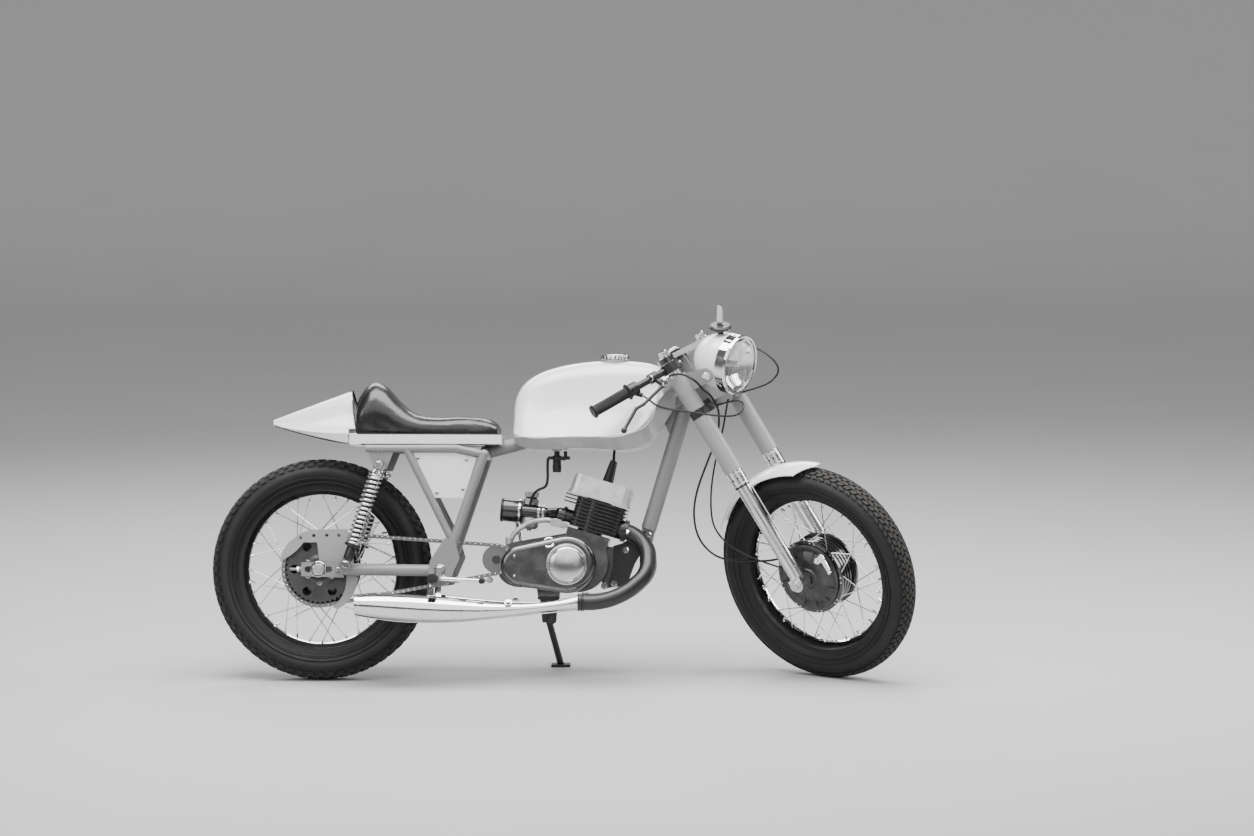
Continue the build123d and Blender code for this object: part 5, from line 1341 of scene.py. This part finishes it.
class Engine(bpy.types.Operator):
    """Covers, rings, bolts, hoses and castings on the engine"""

    bl_idname = "motorcycle.engine"
    bl_label = "Engine"

    def execute(self, context):
        rim = [
            (0, 118.4), (60.8, 118.4), (60.8, 121.5), (59, 124), (56.5, 124.6), (54.8, 122.5), (52.5, 122.5),
            (51.5, 125)]
        curve = [(51.5 * math.cos(turn), 125 + 10.6 * math.sin(turn)) for turn in turns(48)[1:13]]
        dome = Shape().lathe(GENERATOR, -ACROSS, rim + curve, 96)
        make("generator_dome", dome, CHASSIS, "dome", sharp=40, replaces="generator_cover")

        # A black disc painted as the shade inside the recess, in a chrome ring
        recess, recess_way = Vector((-60, -110.5, 401)), Vector((-0.15, -0.86, 0.5))
        black = Shape().disc(recess, recess_way, 14, -2, 1.5, 28)
        bright = Shape().wire_ring(recess, recess_way, 15, 3.2, 40)
        for angle in (28, 205, 330):
            way = wheel_way(math.radians(angle))
            bright.screw(GENERATOR - ACROSS * 123.2 + way * 56.5, -ACROSS, 3.2, 1.8)
        for z in (362, 304):
            bright.screw((-160, -118.2, z), -ACROSS, 4.2, 2.5)
        bright.parts([(BOLT, (x, 17.6, z), ACROSS, 14, 6) for x, z in ((97, 275), (126, 281), (160, 380), (226, 425))])
        grey = Shape().parts([
            (LATHE, (10, 122.3, 345), ACROSS, [(0, 0), (26, 0), (26, 3), (23, 5), (8, 6), (0, 6)]),
            (LATHE, (-150, 122.3, 338), ACROSS, [(0, 0), (34, 0), (34, 2.5), (31, 4), (0, 4)]),
            (LATHE, (-178, -62, 376), UP, [(0, 0), (16, 0), (16, 4), (11, 6), (11, 40), (0, 40)], 28),
        ], (1,))
        for x, z in ((-176, 372), (-206, 338), (-176, 300), (-70, 272), (-70, 412), (60, 400), (78, 345), (60, 290)):
            grey.screw((x * 0.96 + 2, 122.2, z * 0.96 + 13.5), ACROSS, 4.4, 3)
        grey.tube(curve_through([
            (-178, -62, 396), (-164, -61, 425), (-141, -60, 446), (-103, -60, 463), (-65, -60, 466), (-48, -60, 460),
        ], 8), 7.5, 16)
        pad = [(-60, 450), (-56, 470), (-38, 470), (-10, 456), (-4, 446), (-20, 442)]
        grey.prism(rounded(pad, 5), 50, 68, -ACROSS)
        flange = [(24, 0), (33, 0), (33, 3.5), (27, 3.5), (27, 7), (32, 7), (32, 10.5), (26, 10.5), (24, 12)]
        for side, name in SIDES:
            middle = side * BARREL_Y
            outline = [(x, middle + y) for x, y in ((-62, -31), (83, -31), (83, 31), (-62, 31))]
            core = Shape().prism(rounded(outline, 30, 8), 6, 96, BARREL_UP, BARREL_AHEAD, ACROSS, BARREL_FOOT)
            make(f"cylinder_core_{name}", core, CHASSIS, "black_fins", sharp=40)
            port = barrel_point(92.5, middle, 34)
            black.lathe(port, BARREL_AHEAD, flange, 48, True)
            for shift in (-29, 29):
                bright.bolt(port + ACROSS * shift + BARREL_AHEAD * 10.5, BARREL_AHEAD, 11, 7)
            for x in (28, 36, 42):
                black.wire_ring((x, side * EXHAUST_Y, 229), AHEAD, 24.5, 2.2, 36)
        make("engine_castings", grey, CHASSIS, "cast", sharp=36, bevel=0.6)
        make("engine_fasteners", bright, CHASSIS, "chrome", sharp=30)
        make("engine_blacks_and_recess_shade", black, CHASSIS, "black_fins", sharp=36)
        return {"FINISHED"}


class Intake(bpy.types.Operator):
    """Carburettor's caps and bowl, the filter's pleats, clamps and the fuel hose"""

    bl_idname = "motorcycle.intake"
    bl_label = "Intake"

    def execute(self, context):
        level, upright = Vector((-1, 0, 0.08)).normalized(), Vector((0.08, 0, 1)).normalized()
        intake = barrel_point(-82.3, 0, 30)
        body = intake + level * 104
        metal = Shape().band(body + upright * 30, upright, 17.5, 23, -8, 8, 6)
        metal.ribbed(body + upright * 44, upright, [(20.5, 0, 1.2), (20.5, 14, 1.2), (17, 16, 0), (9, 17, 0)], 30, 120)
        metal.lathe(body - upright * 16, -upright, [
            (17.3, 0), (24, 1), (26, 6), (26, 26), (20, 33), (7, 34), (7, 39), (0, 39)], 40)
        make("carburettor_caps", metal, CHASSIS, "cast", sharp=36)
        black = Shape().ribbed(intake + level * 127, level, [
            (30, 0, 0), (35, 0.5, 0), (35, 6, 0), (34, 7, 0), (34, 8, 5), (34, 54, 5), (34, 55, 0), (35.2, 56, 0),
            (35.2, 62, 0), (30, 63.5, 0),
        ], 30, 180)
        make("air_filter_pleats", black, CHASSIS, "soft_black", sharp=50)
        bright = Shape()
        for run, radius in ((62, 22.3), (75, 22.3), (131, 35.6)):
            bright.band(intake + level * run, level, radius, radius + 1, 1, 7)
            bright.bolt(intake + level * (run + 4) - ACROSS * (radius + 1), (0, -0.3, 1), 8, 7)
        make("intake_clamps", bright, CHASSIS, "dull_chrome", sharp=30)
        cable("fuel_hose", [
            (-66, -58, 647), (-68, -58, 625), (-66, -57, 585), (-72, -54, 562), (-94, -46, 556), (-112, -30, 540),
            body + Vector((0, -20, 22)),
        ], 4.0, CHASSIS)
        bowl = [(0, 0), (12.8, 0), (13.2, 3), (12.6, 16), (10, 20), (0, 21)]
        tap = Shape().lathe((-40, -58, 626), -UP, bowl, 28).bolt((-15, -58, 671.5), UP, 12, 3, False)
        tap.prism(rounded([(-8, -4), (-8, 4), (26, 6), (26, -6)], 3), 0, 4, -ACROSS, centre=(-40, -71, 645))
        make("fuel_tap_details", tap, CHASSIS, "soft_black")
        return {"FINISHED"}


class Exhaust(bpy.types.Operator):
    """Seams, rolled ends, bolts and brackets of the mufflers"""

    bl_idname = "motorcycle.exhaust"
    bl_label = "Exhaust"

    def execute(self, context):
        bright = Shape().parts([
            (BOLT, (-173, 184.5, 229), (0, 0.75, 0.66), 12, 5),
            (DISC, (-173, 183, 228), (0, 0.75, 0.66), 10.5, 0, 2, 28),
            (BOLT, (-400, 137.2, 268), ACROSS, 13, 6),
            (BOLT, (-604, EXHAUST_Y + 31.5, 224), (0, 1, 0.1), 8, 4, False),
            (RING, (-615.4, EXHAUST_Y, 220), (1, 0, 0.04), 29.0, 1.8, 48),
        ])
        for side, _ in SIDES:
            seam = [(25, 207.7), (-255, 177.7), (-340, 170.7), (-486, 172.7), (-616, 189.7)]
            bright.tube(curve_through([(x, side * EXHAUST_Y, z) for x, z in seam], 10), 1.6, 8)
        make("muffler_fittings", bright, CHASSIS, "chrome", sharp=30)
        return {"FINISHED"}


# Crease of the tank in the bike's side view; the tail's front edge, with the x of its top and its slope; and the
# lower edges of the tail and the seat's base on the left
TANK_CREASE = (
    (-158, 708), (-140, 708), (-96, 706.5), (-40, 706.5), (40, 707), (102, 709), (160, 715), (206, 730), (230, 753),
    (243, 778), (249, 805), (254, 828), (266, 848),
)
TAIL_FRONT = ((-101, 693), (-108, 706), (-110, 722), (-104, 752), (-86, 780), (-60, 803), (-30, 832), (0, 846))
TAIL_FRONT_X, TAIL_FRONT_TOP, TAIL_FRONT_SLOPE = -643, 843, 0.194
TAIL_LOW = ((-600, 108, 683.4), (-715, 88, 700.4), (-800, 52, 720.4), (-868, 9, 740))
SEAT_RAIL = ((-204, 91.5, 684.5), (-400, 111.5, 684.5), (-606, 114.5, 684.5))


class Bodywork(bpy.types.Operator):
    """Fuel cap, trims, panel screws and footrest sleeves"""

    bl_idname = "motorcycle.bodywork"
    bl_label = "Bodywork"

    def execute(self, context):
        cap = Shape().ribbed((126, 0, 0), UP, [
            (38, 935.4, 0), (42, 936, 0), (42.8, 937.5, 1.6), (42.8, 945.5, 1.6), (41.5, 948, 0), (36, 950.4, 0),
            (22, 952, 0), (8, 952.8, 0),
        ], 24, 144)
        make("fuel_cap_fluted", cap, CHASSIS, "chrome", sharp=40, replaces="fuel_cap")

        tank = NODES["fuel_tank"]
        to_bike = BIKE.inverted() @ tank.matrix_world
        surface = BVHTree.FromPolygons(
            [to_bike @ vertex.co for vertex in tank.data.vertices], [face.vertices[:] for face in tank.data.polygons])
        edge = [(TAIL_FRONT_X + TAIL_FRONT_SLOPE * (TAIL_FRONT_TOP - z), y, z) for y, z in TAIL_FRONT]
        edge += [(x, -y, z) for x, y, z in reversed(edge[:-1])]
        bead, trim = Shape(), Shape().tube(curve_through(edge, 4), 2.6, 8)
        for side, _ in SIDES:
            hits = [
                surface.ray_cast(point + ACROSS * side * 220, -ACROSS * side)[0]
                for point in curve_through([(x, 0, z) for x, z in TANK_CREASE], 8)]
            bead.tube([hit for hit in hits if hit], context.scene.motorcycle_bodywork.bead, 10)
            for line, steps, radius in ((TAIL_LOW, 8, 1.8), (SEAT_RAIL, 4, 2.0)):
                trim.tube(curve_through([(x, side * y, z) for x, y, z in line], steps), radius, 8)
        make("tank_bead", bead, CHASSIS, "white")
        make("tail_trim", trim, CHASSIS, "soft_black")

        rows = [(SCREW, (x, 112.2, z), ACROSS, 5.5, 3) for x, z in ((-310, 555), (-440, 645), (-300, 640), (-385, 545))]
        screws = Shape().parts(rows + [
            (BOLT, (-375, 131.7, 319), ACROSS, 24, 10),
            (BOLT, (-728.5, 115.4, 322), ACROSS, 31, 8),
            (BOLT, (-786, 106, 322), -AHEAD, 13, 6, False),
            (BOLT, (-671, 121.3, 322), ACROSS, 10, 3, False),
            (BOLT, (-551, 116.4, 668), ACROSS, 10, 4),
        ])
        make("frame_fasteners", screws, CHASSIS, "dull_chrome", sharp=30)

        footrest = [(10, 0, 0), (13.6, 1, 0), (13.6, 4, 0)]
        for i in range(0, 56, 8):
            footrest += [(13.2, 5 + i, 1.6), (13.2, 10 + i, 1.6), (11.6, 11 + i, 0), (11.6, 12 + i, 0)]
        footrest += [(13.6, 61.5, 0), (13.6, 64, 0), (9, 65, 0)]
        pegs = Shape().parts([
            (RIBBED, (-390, 167.5, 297), ACROSS, footrest, 12, 48),
            (RIBBED, (-250, 155, 290), ACROSS, [(6, 0, 0), (9.6, 1, 1), (9.6, 34, 1), (6, 36, 0)], 12, 48),
        ])
        pegs.ribbed((-176, 152, 500), ACROSS, [(8, 0, 0), (11, 1, 1), (11, 50, 1), (8, 52, 0)], 12, 48)
        make("footrest_rubbers", pegs, CHASSIS, "rubber", sharp=50)
        return {"FINISHED"}


OPERATORS = (
    StudioStage, Finishes, Cables, Tyres, Seat, Headlamp, Shocks, Controls, ForkDetails, Brakes, Wheels, Chain,
    Engine, Intake, Exhaust, Bodywork,
)
SETTINGS = (
    ("motorcycle_stage", StageSettings),
    ("motorcycle_paint", PaintSettings),
    ("motorcycle_tyres", TyreSettings),
    ("motorcycle_seat", SeatSettings),
    ("motorcycle_headlamp", HeadlampSettings),
    ("motorcycle_shocks", ShockSettings),
    ("motorcycle_controls", ControlSettings),
    ("motorcycle_bodywork", BodyworkSettings),
)


class MotorcyclePanel(bpy.types.Panel):
    """Lists the pieces and the stage, each with its sizes and colours"""

    bl_idname = "VIEW3D_PT_motorcycle"
    bl_label = "Motorcycle"
    bl_space_type = "VIEW_3D"
    bl_region_type = "UI"
    bl_category = "Motorcycle"

    def draw(self, context):
        for name, group in SETTINGS:
            box = self.layout.box()
            values = getattr(context.scene, name)
            for key in group.__annotations__:
                box.prop(values, key)
        for operator in OPERATORS:
            self.layout.operator(operator.bl_idname)


def register():
    for name, group in SETTINGS:
        bpy.utils.register_class(group)
        setattr(bpy.types.Scene, name, PointerProperty(type=group))
    for operator in OPERATORS:
        bpy.utils.register_class(operator)
    bpy.utils.register_class(MotorcyclePanel)


def unregister():
    bpy.utils.unregister_class(MotorcyclePanel)
    for operator in reversed(OPERATORS):
        bpy.utils.unregister_class(operator)
    for name, group in reversed(SETTINGS):
        delattr(bpy.types.Scene, name)
        bpy.utils.unregister_class(group)


def main():
    register()
    for operator in OPERATORS:
        family, step = operator.bl_idname.split(".")
        getattr(getattr(bpy.ops, family), step)()
    bpy.context.view_layer.update()


if __name__ == "__main__":
    main()
